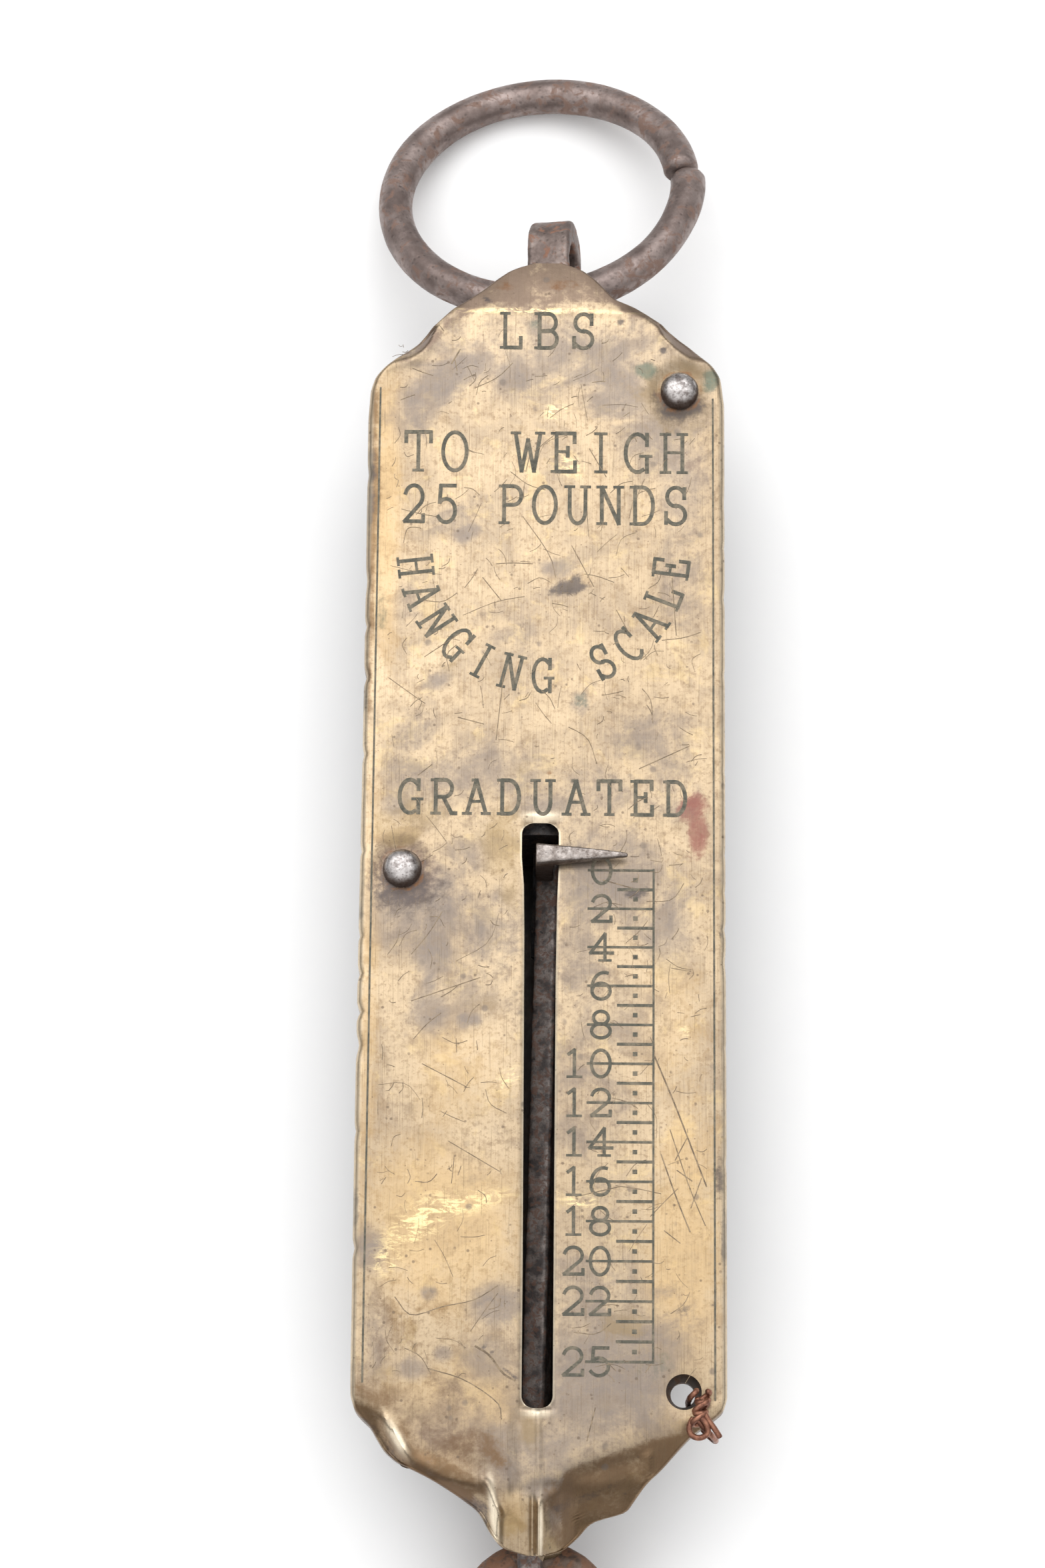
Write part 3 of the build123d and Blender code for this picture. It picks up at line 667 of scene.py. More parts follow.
def brass_face(material):
    """The face: rows of points across the outline, folded down at the long sides, with thickness."""
    ys = face_rows()
    left = smoothed(along(LEFT_SIDE, ys), ys, 0.32)
    right = smoothed(along(RIGHT_SIDE, ys), ys, 0.32)
    straight = plateau(ys, -56, 4, 60, 4)
    left = left + nicks(ys, 0.0) * straight
    right = right - nicks(ys, 9.0) * straight * 0.35
    fold = 0.35 + 0.4 * straight
    wall = 0.25 + (WALL - 0.25) * plateau(ys, -62, 9, 64.5, 6)
    slot_left, slot_right = slot_edges(ys)
    pinch = ramp(np.minimum(-left, right), fold, 3.0)
    rows = [face_row(*measures)
            for measures in zip(ys, left, right, fold, wall, slot_left * pinch, slot_right * pinch)]
    columns = len(rows[0])
    points = np.array([point for row in rows for point in row])
    first = len(BENDS) + len(SKIRT) + len(SIDE_STEPS) - 1
    last = first + len(MIDDLE_STEPS) + 1
    in_hole = np.hypot(points[:, 0] - OPEN_HOLE[0], points[:, 1] - OPEN_HOLE[1]) < OPEN_RADIUS
    faces = []
    for i in range(len(ys) - 1):
        in_slot = SLOT_LOW - 1e-3 <= ys[i] and ys[i + 1] <= SLOT_TOP + 1e-3
        for j in range(columns - 1):
            k = i * columns + j
            corners = (k, k + 1, k + 1 + columns, k + columns)
            if not (in_slot and first <= j < last) and not any(in_hole[c] for c in corners):
                faces.append(corners)
    snap_hole(points, faces)
    face = piece_from("brass_face", points, faces, material)
    face.data.validate()
    edit_mesh(face, lambda mesh: bmesh.ops.delete(
        mesh, geom=[v for v in mesh.verts if not v.link_faces], context="VERTS"))
    thick = face.modifiers.new("sheet", "SOLIDIFY")
    thick.thickness = SHEET * MM
    thick.offset = -1.0
    apply_modifiers(face)
    face.data.set_sharp_from_angle(angle=math.radians(40))
    paint_face(face)
    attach(face, "case")
    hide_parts("front_plate")


def face_row(y, x0, x1, bend, drop, slot_left, slot_right):
    """One row across the face, from the foot of the left wall to the foot of the right one."""
    lean = 0.05 + 0.06 * math.sin(y / 4.0)
    sides = []
    for side, edge in ((-1, x0), (1, x1)):
        low = FACE_Z + float(face_height(edge - side * bend, y)) - bend
        depth = max(drop - bend, 0.12)
        sides.append([(edge - side * bend * (1 - math.cos(a)), y, low + bend * math.sin(a)) for a in BENDS]
                     + [(edge - side * lean * t, y, low - depth * t) for t in SKIRT])
    a, b = x0 + bend, x1 - bend
    xs = np.concatenate([a + SIDE_STEPS * (slot_left - a),
                         slot_left + MIDDLE_STEPS * (slot_right - slot_left),
                         (b + SIDE_STEPS * (slot_right - b))[::-1]])
    zs = FACE_Z + face_height(xs, np.full_like(xs, y))
    return sides[0][::-1] + [(x, y, z) for x, z in zip(xs, zs)] + sides[1]


def snap_hole(points, faces):
    """Draws the points round the removed patch onto the circle of the open hole."""
    uses = {}
    for corners in faces:
        for a, b in zip(corners, corners[1:] + corners[:1]):
            uses[frozenset((a, b))] = uses.get(frozenset((a, b)), 0) + 1
    for pair, count in uses.items():
        for k in pair:
            dx, dy = points[k][0] - OPEN_HOLE[0], points[k][1] - OPEN_HOLE[1]
            away = math.hypot(dx, dy)
            if count == 1 and away < OPEN_RADIUS + 0.8:
                x, y = OPEN_HOLE[0] + dx / away * OPEN_RADIUS, OPEN_HOLE[1] + dy / away * OPEN_RADIUS
                points[k] = (x, y, FACE_Z + float(face_height(x, y)))


# Stains, painted shade and painted highlights on the face: x, y, half length, half width, turn in degrees,
# strength.
STAINS_AND_PAINTED_LIGHT = {
    "gold": (
        (-10, -36, 8, 9, 0, 0.95), (14.4, -38, 3.8, 14, 0, 0.95), (-9, -20, 6, 7, 0, 0.6),
        (-17, 40, 1.8, 16, 0, 0.85), (12.6, -14, 4, 8, 0, 0.6), (-17.8, -8, 1, 24, 0, 0.6),
        (-8, -54, 7, 5, 0, 0.8), (-2.4, -64.5, 1.6, 2.6, 0, 0.7)),
    "grey": (
        (-12, 54.6, 4.2, 2, 28, 0.85), (-8.6, 57, 4.4, 2, 18, 0.95), (-3.6, 56.4, 3.4, 1.7, -8, 0.9),
        (0.6, 58, 3.6, 0.9, 0, 0.8), (6, 56, 5.4, 1.6, -8, 0.9), (8, 53.6, 3.8, 2.4, 0, 0.8),
        (0, 58.6, 15, 4, 0, 0.68), (-14.5, 50.5, 2.6, 3.6, 0, 0.5), (12.8, 50, 5, 6.5, 0, 0.6),
        (14.2, 54.5, 4, 3.6, 0, 0.95), (14.4, 44, 3.2, 6.5, 0, 0.75), (14.5, 35, 2.8, 7, 0, 0.45),
        (-8.4, 38.2, 1.6, 0.9, 30, 0.95), (1, 34.6, 2, 0.9, 0, 0.8), (-10.6, 40.2, 3.6, 1.6, 20, 0.4),
        (-11.4, 21.8, 1.5, 0.9, 30, 0.85), (3.7, 19.6, 1.3, 1.2, 60, 0.8),
        (-6.2, 13.2, 3.6, 2.2, 20, 0.5), (11.8, 14.5, 4.6, 6, 0, 0.42), (8, 9.6, 8, 3, 0, 0.6),
        (-9.5, 8, 5, 3, 0, 0.42), (6, 1.6, 5.8, 6.8, 0, 0.72), (-12.8, -1, 6, 4.8, 10, 0.72),
        (-11.4, -7.4, 1.9, 2.6, 0, 0.85), (4, -10, 3.4, 9, 0, 0.5), (12.8, -5, 3, 4.6, 0, 0.7),
        (-8, -13, 3.4, 4, 0, 0.42), (5.5, -26, 4.2, 16, 0, 0.4), (-6, -27, 4, 4, 0, 0.35),
        (-13.6, -20, 2.8, 6, 0, 0.35), (6.4, -50.6, 9.4, 6.6, 20, 0.9), (4.6, -43, 5.6, 6, 0, 0.55),
        (1.5, -58, 9, 3.2, 0, 0.8), (-4.4, -43.6, 2.8, 2.2, 0, 0.95), (-5.2, -49.6, 3, 2.8, 0, 0.6),
        (-12.6, -50.2, 1.8, 1.4, 0, 0.85), (-9.8, -48.7, 1.1, 1, 0, 0.85),
        (-11.3, -42.6, 0.9, 0.8, 0, 0.8), (-17.1, -38.2, 1.6, 2.6, 0, 0.9), (-16.6, -46, 1.6, 6, 0, 0.5),
        (-9, -55, 6.4, 3.6, 0, 0.6), (-3.8, -57.6, 3, 2.6, 0, 0.8), (7.6, -47.6, 4, 2.6, 0, 0.8),
        (0.5, -61.9, 2.6, 1.4, 0, 1), (0.5, 8.6, 3.6, 1.5, 0, 0.65), (-6.8, -14.4, 0.9, 0.7, 0, 0.9),
        (-14.5, 31, 1.6, 3.4, 0, 0.5), (-3.4, 27, 4.4, 2, -30, 0.35), (-4.6, -4.6, 3.4, 6, 0, 0.6),
        (-11.6, -9.6, 0.9, 5, 0, 0.75), (-11.6, -13.4, 2.4, 2.4, 0, 0.8), (-7.6, 3, 3.6, 2.6, 0, 0.6),
        (-7, 12, 9, 2.4, 0, 0.55), (10, -14, 4, 5, 0, 0.5), (-2.6, -12.8, 1.2, 3.6, 0, 0.5),
        (-7.9, -14.4, 1, 0.9, 0, 0.9), (2, -58.2, 3, 3.6, 0, 0.9), (2.3, -62.6, 1.2, 3, -14, 0.9),
        (-1.5, -58.6, 5, 4, 0, 0.8), (3.6, -52, 3, 3, 0, 0.8), (-15, 8.4, 2, 1.2, 20, 0.6),
        (-8, -52.4, 4, 2.6, -20, 0.5), (-13, 15.5, 2.4, 3.4, 0, 0.42)),
    "brown": (
        (0, 67, 9.5, 3.2, 0, 1), (-7.8, 64.4, 2.4, 1.2, 30, 1), (9, 64, 2.6, 0.9, -20, 0.9),
        (14, 60.4, 3.6, 0.9, -42, 1), (-13, 59.9, 3.4, 0.8, 40, 0.9), (-9.5, -61.9, 5.6, 0.9, -26, 1),
        (14.3, 54.2, 2.9, 2.9, 0, 0.95), (-14.6, 1.6, 3.8, 3.8, 0, 1), (-9, -57.5, 5.6, 2, -14, 0.5),
        (0, 64, 8.6, 0.7, 0, 0.6), (15.6, 46, 1.8, 1.2, 0, 0.6)),
    "olive": (
        (-14.8, 5, 2.4, 1.2, 10, 1), (14.2, 54.4, 4.2, 3.8, 0, 0.9), (-16.6, 6.2, 1.6, 2, 0, 0.7),
        (-4.4, 4.2, 2.4, 4.4, 0, 0.85), (-3.4, -0.5, 1.2, 3.2, 0, 0.7), (8.4, -45.6, 2.6, 2, 0, 0.6),
        (-12.6, 7.4, 3.6, 2, 0, 0.6), (-10.4, 26, 1.4, 4.5, 0, 0.45), (-0.8, -56.6, 1.5, 2.2, 0, 0.7),
        (-2.4, -65.8, 1.4, 1.6, 0, 0.7), (-5.6, -12.6, 1.6, 1.2, 0, 0.35), (-2.6, 12.4, 2, 1, 20, 0.5),
        (1.4, -67.4, 1.2, 0.8, 0, 0.8)),
    # The umber values are brown tarnish, and painted shade on the folded faces of the lower end.
    "umber_and_shade": (
        (-18.4, 42, 0.7, 9, 0, 0.9), (-18.5, 22, 0.5, 5, 0, 0.8), (-17.2, -55.6, 3, 1.4, -32, 1),
        (-15.4, -58.2, 1.6, 1.4, 0, 1), (-16.2, -53, 2.6, 1.4, -30, 0.5), (6.9, -61, 7, 1.7, 22, 1),
        (12.2, -58.9, 3.4, 1.1, 36, 0.9), (-13.8, -57.4, 1.2, 2.4, 0, 0.8), (-9.6, -60.2, 6, 1, -26, 0.8),
        (3.2, -66, 1.8, 1.6, 0, 0.7), (-12, -46, 4, 3, 20, 0.4), (-6.4, -58.6, 4, 2.4, -20, 0.45),
        (-8.6, -40.4, 2.8, 1.8, 0, 0.3), (-10, -53.6, 4.6, 3.4, 0, 0.35),
        (4.6, -63.4, 4.4, 2.4, 20, 0.45), (-15.4, -44, 1.8, 6, 0, 0.3)),
    # The rim values are painted highlights at the slot's ends, on the lower left fold and on the lip's
    # creases.
    "rim_highlight": (
        (-0.2, 7.3, 1.7, 0.4, 0, 0.85), (-0.2, -54.6, 1.2, 0.35, 0, 0.6),
        (-14.2, -57.1, 1.7, 0.42, -60, 1), (-4.4, -64.2, 0.36, 2.8, 6, 1), (0.3, -66, 0.2, 2.6, 0, 1)),
    "rust": (
        (0.6, 11.9, 0.35, 0.25, 0, 0.8), (2.2, -56.4, 1.3, 0.5, 80, 0.3), (-9.8, 64.9, 1, 0.5, 30, 0.7),
        (1.4, 66.6, 2.4, 0.8, 0, 0.6), (-5, 66.6, 1.5, 0.7, 0, 0.5)),
    "dark": (
        (2.5, 32.3, 1.9, 0.75, 8, 1), (3.2, 33, 0.9, 0.6, 60, 0.9), (14.3, 53.2, 2.7, 2.1, 0, 0.95),
        (-14.6, 1, 2.9, 2.7, 0, 1), (-14.2, 0.2, 4.4, 3.8, 0, 0.62), (-15.2, -1.2, 3, 1.4, -10, 0.75),
        (7.8, 62.4, 0.55, 0.5, 0, 1), (12.5, 59.1, 0.45, 0.4, 0, 0.9), (-6.5, 64.9, 0.8, 0.3, -40, 0.8),
        (9.4, -0.9, 0.9, 0.5, 0, 0.8), (10.6, -0.6, 0.6, 0.5, 0, 0.8), (-18.6, 44, 0.5, 6, 0, 0.7),
        (-18.9, 20, 0.4, 1.8, 0, 0.9), (-18.9, -3, 0.4, 1.4, 0, 0.9), (-18.8, -34, 0.5, 2.2, 0, 0.8),
        (18.6, -5, 0.4, 1.5, 0, 0.7), (17.5, -9.6, 0.4, 0.4, 0, 0.8), (18.2, -31, 0.6, 3, 0, 0.7),
        (17.5, -43.6, 0.4, 0.3, 0, 0.7), (14.6, -43.9, 0.7, 0.7, 0, 0.55), (18.7, -36, 0.4, 3.5, 0, 0.8),
        (-2.9, -50.6, 1.3, 0.2, -38, 0.7), (-5.2, -48.2, 1.6, 0.17, -32, 0.7),
        (-15.2, -36.5, 0.4, 0.4, 0, 0.6), (5, -62.6, 4, 0.5, 22, 0.5), (-17.4, 57.4, 1, 0.4, 20, 0.5)),
    "green": (
        (10.7, 56.8, 1.3, 1, 0, 0.9), (17.6, 55.4, 1, 1.5, 0, 0.9), (3.8, 19.8, 1, 0.9, 0, 0.85),
        (12, -50.2, 2.4, 1.2, 0, 0.4), (12.6, -48.8, 0.9, 0.6, 0, 0.3), (-1.3, 61.9, 0.7, 0.6, 0, 0.5),
        (-17.2, 32, 0.7, 5, 0, 0.5)),
    "red": (
        (15.6, 8.6, 1.6, 1.7, 0, 0.9), (16.1, 5.4, 1.05, 2.6, 0, 0.95), (17.7, 22, 0.3, 9, 0, 0.3)),
    # The bright values are rubbed patches, and a painted highlight along the bend just below the top fold.
    "bright": (
        (-1, 63.5, 7.5, 0.3, 0, 0.8), (-12.4, -35.4, 3.6, 1.5, 40, 1), (-8.6, -33.6, 4.4, 0.9, 12, 1),
        (-15.4, -39.2, 1.4, 1, 50, 1), (4, -33.1, 1.6, 0.5, 0, 0.9), (1, 52, 1, 0.7, 0, 0.9),
        (2.2, 46, 1.2, 1.6, 60, 0.5), (-3.4, -20.5, 1.6, 0.8, 40, 0.5), (15, -15.5, 0.9, 0.3, -40, 0.7)),
}
# Broad, soft darkening, given in the same way.
SHADES = (
    (-10, -57, 12, 11, 0, 0.5), (6, -62, 10, 6, 0, 0.3), (0, -57, 8, 7, 0, 0.34), (12, -58, 7, 6, 0, 0.4),
    (-17, -46, 3, 14, 0, 0.3), (-0.6, -66, 5.5, 3.4, 0, 0.5), (-17, 45, 3.4, 14, 0, 0.3),
    (17.5, 46, 3.2, 16, 0, 0.36), (17.8, 10, 1.6, 26, 0, 0.2), (-8, 2, 12, 8, 0, 0.2),
    (-12, -10, 6, 16, 0, 0.16), (12, 30, 6, 18, 0, 0.16), (3.2, -20, 3, 30, 0, 0.14),
    (-17.5, -20, 1.6, 30, 0, 0.2), (0, 12, 18, 7, 0, 0.12), (-2.4, -30, 2, 32, 0, 0.14))


def strongest(x, y, blobs, power):
    """The strongest of several soft blobs at each place."""
    total = np.zeros(len(x))
    for bx, by, long, wide, turn, strength in blobs:
        c, s = math.cos(math.radians(turn)), math.sin(math.radians(turn))
        u, v = ((x - bx) * c + (y - by) * s) / long, (-(x - bx) * s + (y - by) * c) / wide
        total = np.maximum(total, strength * np.exp(-0.7 * (u * u + v * v) ** power))
    return total


def paint_face(face):
    """Where the face is stained, shaded, polished or given painted highlights, as one painted value for
    each kind.
    """
    x, y, z = points_of(face).T
    rivet_rings = [0.66 * np.exp(-((np.hypot(x - rx, y - ry) - 2.25) / 0.26) ** 2) for rx, ry in RIVETS]
    # Painted highlights: a thin line round the slot and along the long edges.
    slot_highlight = np.exp(-((outside_slot(x, y, *slot_edges(y)) - 0.02) / 0.12) ** 2) * (z > FACE_Z - 0.5)
    edge_highlight = ramp(np.abs(x), 18.4, 0.2) * (z > FACE_Z - 0.9)
    below = along(LOW_RIDGE, x) - y
    walls = ramp(-z, 1.6 - FACE_Z, 1.2) * (np.abs(x) > 17)
    left_edge = ramp(-x, 17.85, 0.15) * plateau(y, 24, 4, 56, 3)
    # The umber value on the left rolled edge is brown tarnish; below the lower ridge the dark and umber
    # values are painted shade on the folded faces.
    extra = {"rim_highlight": (0.65 * slot_highlight, 0.35 * edge_highlight),
             "dark": (0.62 * ramp(below, 0.7, 1.2) * (x < -5),),
             "rust": rivet_rings,
             "brown": (0.95 * ramp(y, along(TOP_RIDGE, x), 0.8), 0.7 * walls),
             "umber_and_shade": (0.75 * left_edge, 0.9 * ramp(below, 0, 0.8) * (np.abs(x + 2) > 4.5))}
    for name, blobs in STAINS_AND_PAINTED_LIGHT.items():
        total = strongest(x, y, blobs, 1.4)
        for values in extra.get(name, ()):
            total = np.maximum(total, values)
        paint(face, name, total)
    paint(face, "shade", strongest(x, y, SHADES, 1.0))


# ---------------------------------------------------------------- lettering and scale
def stem(x, feet="both"):
    """An upright with serifs."""
    strokes = [[(x, 0.0), (x, 1.0)]]
    if feet in ("both", "low"):
        strokes.append([(x - 0.17, 0.0), (x + 0.17, 0.0)])
    if feet in ("both", "high"):
        strokes.append([(x - 0.17, 1.0), (x + 0.17, 1.0)])
    return strokes


TWO = [arc(0.5, 0.7, 0.33, 0.3, 165, -38) + [(0.16, 0.02)], [(0.16, 0.02), (0.86, 0.02), (0.86, 0.2)]]
BOWL = [(0.2, 1.0), (0.55, 1.0)] + arc(0.55, 0.745, 0.3, 0.255, 90, -90) + [(0.2, 0.49)]
# Letters and digits as strokes in a unit square.
GLYPHS = {
    "A": [[(0.12, 0), (0.5, 1), (0.88, 0)], [(0.27, 0.36), (0.73, 0.36)], [(-0.04, 0), (0.28, 0)],
          [(0.72, 0), (1.04, 0)], [(0.34, 1), (0.5, 1)]],
    "B": stem(0.2) + [BOWL, [(0.2, 0.49), (0.6, 0.51)] + arc(0.58, 0.255, 0.31, 0.255, 80, -90)
                      + [(0.2, 0)]],
    "C": [arc(0.52, 0.5, 0.42, 0.5, 48, 312), [(0.86, 1.0), (0.86, 0.68)]],
    "D": stem(0.2) + [[(0.2, 1), (0.48, 1)] + arc(0.48, 0.5, 0.4, 0.5, 90, -90) + [(0.2, 0)]],
    "E": stem(0.22) + [[(0.22, 1), (0.86, 1), (0.86, 0.76)], [(0.22, 0.52), (0.62, 0.52)],
                       [(0.62, 0.64), (0.62, 0.4)], [(0.22, 0), (0.88, 0), (0.88, 0.26)]],
    "G": [arc(0.5, 0.5, 0.42, 0.5, 50, 300), [(0.84, 1.0), (0.84, 0.7)], [(0.84, 0.42), (0.84, 0.0)],
          [(0.6, 0.42), (1.0, 0.42)]],
    "H": stem(0.2) + stem(0.8) + [[(0.2, 0.52), (0.8, 0.52)]],
    "I": stem(0.5) + [[(0.3, 0), (0.7, 0)], [(0.3, 1), (0.7, 1)]],
    "L": stem(0.28) + [[(0.28, 0), (0.9, 0), (0.9, 0.3)]],
    "N": stem(0.18) + stem(0.82, "high") + [[(0.18, 1), (0.82, 0)]],
    "O": [arc(0.5, 0.5, 0.42, 0.5, 0, 360, 28)],
    "P": stem(0.2) + [BOWL],
    "R": stem(0.2) + [BOWL, [(0.5, 0.49), (0.84, 0.0), (1.02, 0.0)]],
    "S": [arc(0.5, 0.745, 0.33, 0.255, 35, 270) + arc(0.5, 0.255, 0.36, 0.255, 88, -145),
          [(0.82, 0.98), (0.82, 0.7)], [(0.13, 0.02), (0.13, 0.32)]],
    "T": stem(0.5, "low") + [[(0.06, 0.74), (0.06, 1), (0.94, 1), (0.94, 0.74)]],
    "U": [[(0.2, 1), (0.2, 0.34)] + arc(0.5, 0.34, 0.3, 0.34, 180, 360) + [(0.8, 1)],
          [(0.03, 1), (0.37, 1)], [(0.63, 1), (0.97, 1)]],
    "W": [[(0.06, 1), (0.28, 0), (0.5, 0.82), (0.72, 0), (0.94, 1)], [(-0.08, 1), (0.22, 1)],
          [(0.78, 1), (1.08, 1)]],
    "0": [arc(0.5, 0.5, 0.35, 0.5, 0, 360, 28)],
    "1": [[(0.28, 0.84), (0.5, 1), (0.5, 0)], [(0.24, 0), (0.76, 0)]],
    "2": TWO,
    "4": [[(0.64, 0), (0.64, 1), (0.1, 0.28), (0.94, 0.28)], [(0.42, 0), (0.86, 0)]],
    "5": [[(0.82, 1), (0.28, 1), (0.24, 0.54)] + arc(0.48, 0.32, 0.35, 0.32, 132, -150)],
    "6": [arc(0.5, 0.3, 0.34, 0.3, 0, 360, 24), arc(0.62, 0.42, 0.46, 0.58, 75, 178)],
    "8": [arc(0.5, 0.755, 0.28, 0.245, 0, 360, 22), arc(0.5, 0.265, 0.35, 0.265, 0, 360, 24)],
}


SHARP_TURN = math.radians(50)
PROUD, SUNK = 0.028, 0.06       # how far an inlaid stroke stands above and below the brass


class Inlay:
    """Strokes let into the face: each is a thin closed strip that follows the brass."""

    def __init__(self):
        self.points = []
        self.faces = []
        self.strokes = 0

    def stroke(self, line, width):
        """One stroke along a line of (x, y) places, with mitred corners.

        A line is broken in two at a sharp turn. Strokes stand at slightly different heights, so that the
        faces of crossing strokes don't lie in one plane.
        """
        line = [Vector(p) for p in line]
        for i in range(1, len(line) - 1):
            into, out = line[i] - line[i - 1], line[i + 1] - line[i]
            if into.length > 1e-9 and out.length > 1e-9 and into.angle(out) > SHARP_TURN:
                self.stroke(line[:i + 1], width)
                self.stroke(line[i:], width)
                return
        closed = len(line) > 3 and (line[0] - line[-1]).length < 1e-6
        count = len(line)
        start = len(self.points)
        proud = PROUD + 0.0006 * (self.strokes % 9)
        self.strokes += 1
        for i, here in enumerate(line):
            before = line[i - 1] if i else (line[-2] if closed else here)
            after = line[i + 1] if i + 1 < count else (line[1] if closed else here)
            first, second = here - before, after - here
            if first.length < 1e-9:
                first = second
            if second.length < 1e-9:
                second = first
            direction = first.normalized() + second.normalized()
            direction = direction.normalized() if direction.length > 1e-6 else second.normalized()
            side = Vector((-direction.y, direction.x))
            spread = min(1 / max(abs(direction.dot(second.normalized())), 0.5), 1.6)
            if not closed and i in (0, count - 1):
                here = here + direction * (width * 0.35) * (-1 if i == 0 else 1)
            for half in (-0.5, 0.5):
                place = here + side * (half * width * spread)
                z = FACE_Z + float(face_height(place.x, place.y))
                self.points += [(place.x, place.y, z + proud), (place.x, place.y, z - SUNK)]
        for i in range(count - 1):
            a, b = start + 4 * i, start + 4 * i + 4
            self.faces += [(a, a + 2, b + 2, b), (a + 1, b + 1, b + 3, a + 3),
                           (a, b, b + 1, a + 1), (a + 2, a + 3, b + 3, b + 2)]
        end = start + 4 * (count - 1)
        if not closed:
            self.faces += [(start, start + 1, start + 3, start + 2), (end, end + 2, end + 3, end + 1)]

    def letters(self, text, places, height, width, weight):
        """Text with one (x, y, direction) for each letter; serifs are thinner than stems."""
        for letter, (x, y, turn) in zip(text, places):
            c, s = math.cos(turn), math.sin(turn)
            for line in GLYPHS.get(letter, ()):
                moved = []
                for u, v in line:
                    dx, dy = (u - 0.5) * width, v * height
                    moved.append((x + dx * c - dy * s, y + dx * s + dy * c))
                serif = len(line) == 2 and line[0][1] == line[1][1]
                self.stroke(moved, weight * (0.85 if serif else 1.15))

    def dot(self, x, y, radius):
        """A dot, made of one very short stroke."""
        self.stroke([(x - radius * 0.3, y), (x + radius * 0.3, y)], radius * 1.7)

    def finish(self, name, material):
        """Makes all the strokes one piece that stays with the case."""
        made = piece_from(name, self.points, self.faces, material, smooth=False)
        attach(made, "case")


def straight_line(text, left, right, baseline):
    """Places for letters spread evenly between two ends."""
    step = (right - left) / (len(text) - 1)
    return [(left + index * step, baseline, 0.0) for index in range(len(text))]


def curved_line(text, cx, cy, radius, start, end):
    """Places for letters spread round an arc, with their feet outwards."""
    first, last = math.radians(start), math.radians(end)
    step = (last - first) / (len(text) - 1)
    angles = [first + index * step for index in range(len(text))]
    return [(cx + radius * math.cos(a), cy + radius * math.sin(a), a + math.pi / 2) for a in angles]


def lettering(material):
    """Plain words about weight on the upper half of the face."""
    words = Inlay()
    for text, left, right, baseline, height, width in (
            ("LBS", -3.9, 3.9, 59.3, 3.9, 2.7), ("TO WEIGH", -13.6, 13.6, 45.3, 4.3, 3.0),
            ("25 POUNDS", -14.0, 13.8, 39.5, 4.1, 2.8), ("GRADUATED", -13.9, 13.8, 7.6, 3.6, 2.6)):
        words.letters(text, straight_line(text, left, right, baseline), height, width, 0.36)
    text = "HANGING SCALE"
    words.letters(text, curved_line(text, -0.2, 36.25, 15.4, 187, 353), 3.6, 2.3, 0.34)
    words.finish("face_lettering", material)


def graduations(material):
    """The scale of pounds beside the slot, and the border lines near the long edges."""
    marks = Inlay()
    zero, pitch, right = 1.615, 2.039, 11.5
    numbered = (*range(0, 24, 2), 25)
    for pound in range(26):
        y = zero - pitch * pound
        long = pound in numbered
        marks.stroke([(4.75 if long else 7.85, y), (9.0, y), (right, y)], 0.26 if long else 0.31)
        if pound < 25:
            marks.dot(9.62, y - pitch / 2, 0.27)
    marks.stroke([(right, y) for y in np.linspace(zero + 0.12, zero - pitch * 25, 26)], 0.22)
    for pound in numbered:
        baseline = zero - pitch * pound - 1.4
        for x, digit in zip((6.1, 3.4), reversed(str(pound))):
            marks.letters(digit, [(x, baseline, 0.0)], 2.8, 2.75, 0.3)
    for x, low, high in ((-17.75, -51.6, 54.6), (17.75, -53.1, 53.6)):
        marks.stroke([(x, y) for y in np.linspace(low, high, 90)], 0.2)
    marks.finish("face_graduations", material)


# Scratches on the face: width, then the places that each goes through.
SCORES = (
    (0.2, (-6.4, -47.9), (-5, -48.8), (-3.6, -50.6), (-2.4, -51.3)),
    (0.1, (-11.1, -50.2), (-7.5, -51.3), (-4.2, -53.5), (-3.7, -55.2)),
    (0.09, (-14.6, -43), (-12.9, -44.8), (-9.7, -43.9), (-6.6, -43.2), (-4, -41.6)),
    (0.1, (5.7, -54), (5.2, -56), (4.8, -57.6)),
    (0.15, (11.5, -17.7), (13.7, -23), (15.6, -28), (16.9, -31.4)),
    (0.13, (12.3, -28.2), (13.8, -32.5), (15.6, -37)),
    (0.09, (13.2, -25.6), (15.2, -31.6), (17.2, -36.4)), (0.1, (14.9, -26.5), (13.6, -29)),
    (0.1, (13.9, -29.8), (15.6, -31)), (0.09, (16.4, -30.6), (15.2, -34)),
    (0.09, (12.6, -36), (14.4, -37.4)), (0.08, (-2.4, 40.2), (0.4, 36), (1.2, 33)),
    (0.08, (2.8, 37), (5.4, 32)), (0.08, (8.8, 27.5), (7.4, 30.2)), (0.08, (-9, 18), (-6, 17.2)),
    (0.09, (13.4, 33.5), (13.9, 26.5)), (0.08, (-5, 15.6), (-4.2, 23.6)), (0.08, (-11.8, 62), (-11, 61)),
    (0.14, (-10.2, 57.4), (-9.2, 59.2)), (0.09, (-9.6, 56.6), (-9.9, 58)),
    (0.08, (4.6, 47.9), (6.6, 44.4)), (0.08, (-1.6, 47.8), (-2.2, 45)),
    (0.09, (-6.6, 33.4), (-4.4, 30.6)), (0.08, (-12.6, 24.6), (-8.4, 27.6)),
    (0.08, (10, 12.6), (15.8, 15.4)), (0.08, (-13.4, -12.4), (-5.6, -9.6)),
    (0.08, (-12.2, -19), (-7.2, -21.6)), (0.1, (6.2, 0.6), (9.8, -0.4)),
    (0.09, (3.6, -32.6), (8.6, -31.4)), (0.08, (-9.4, -27), (-3.6, -30.4)))


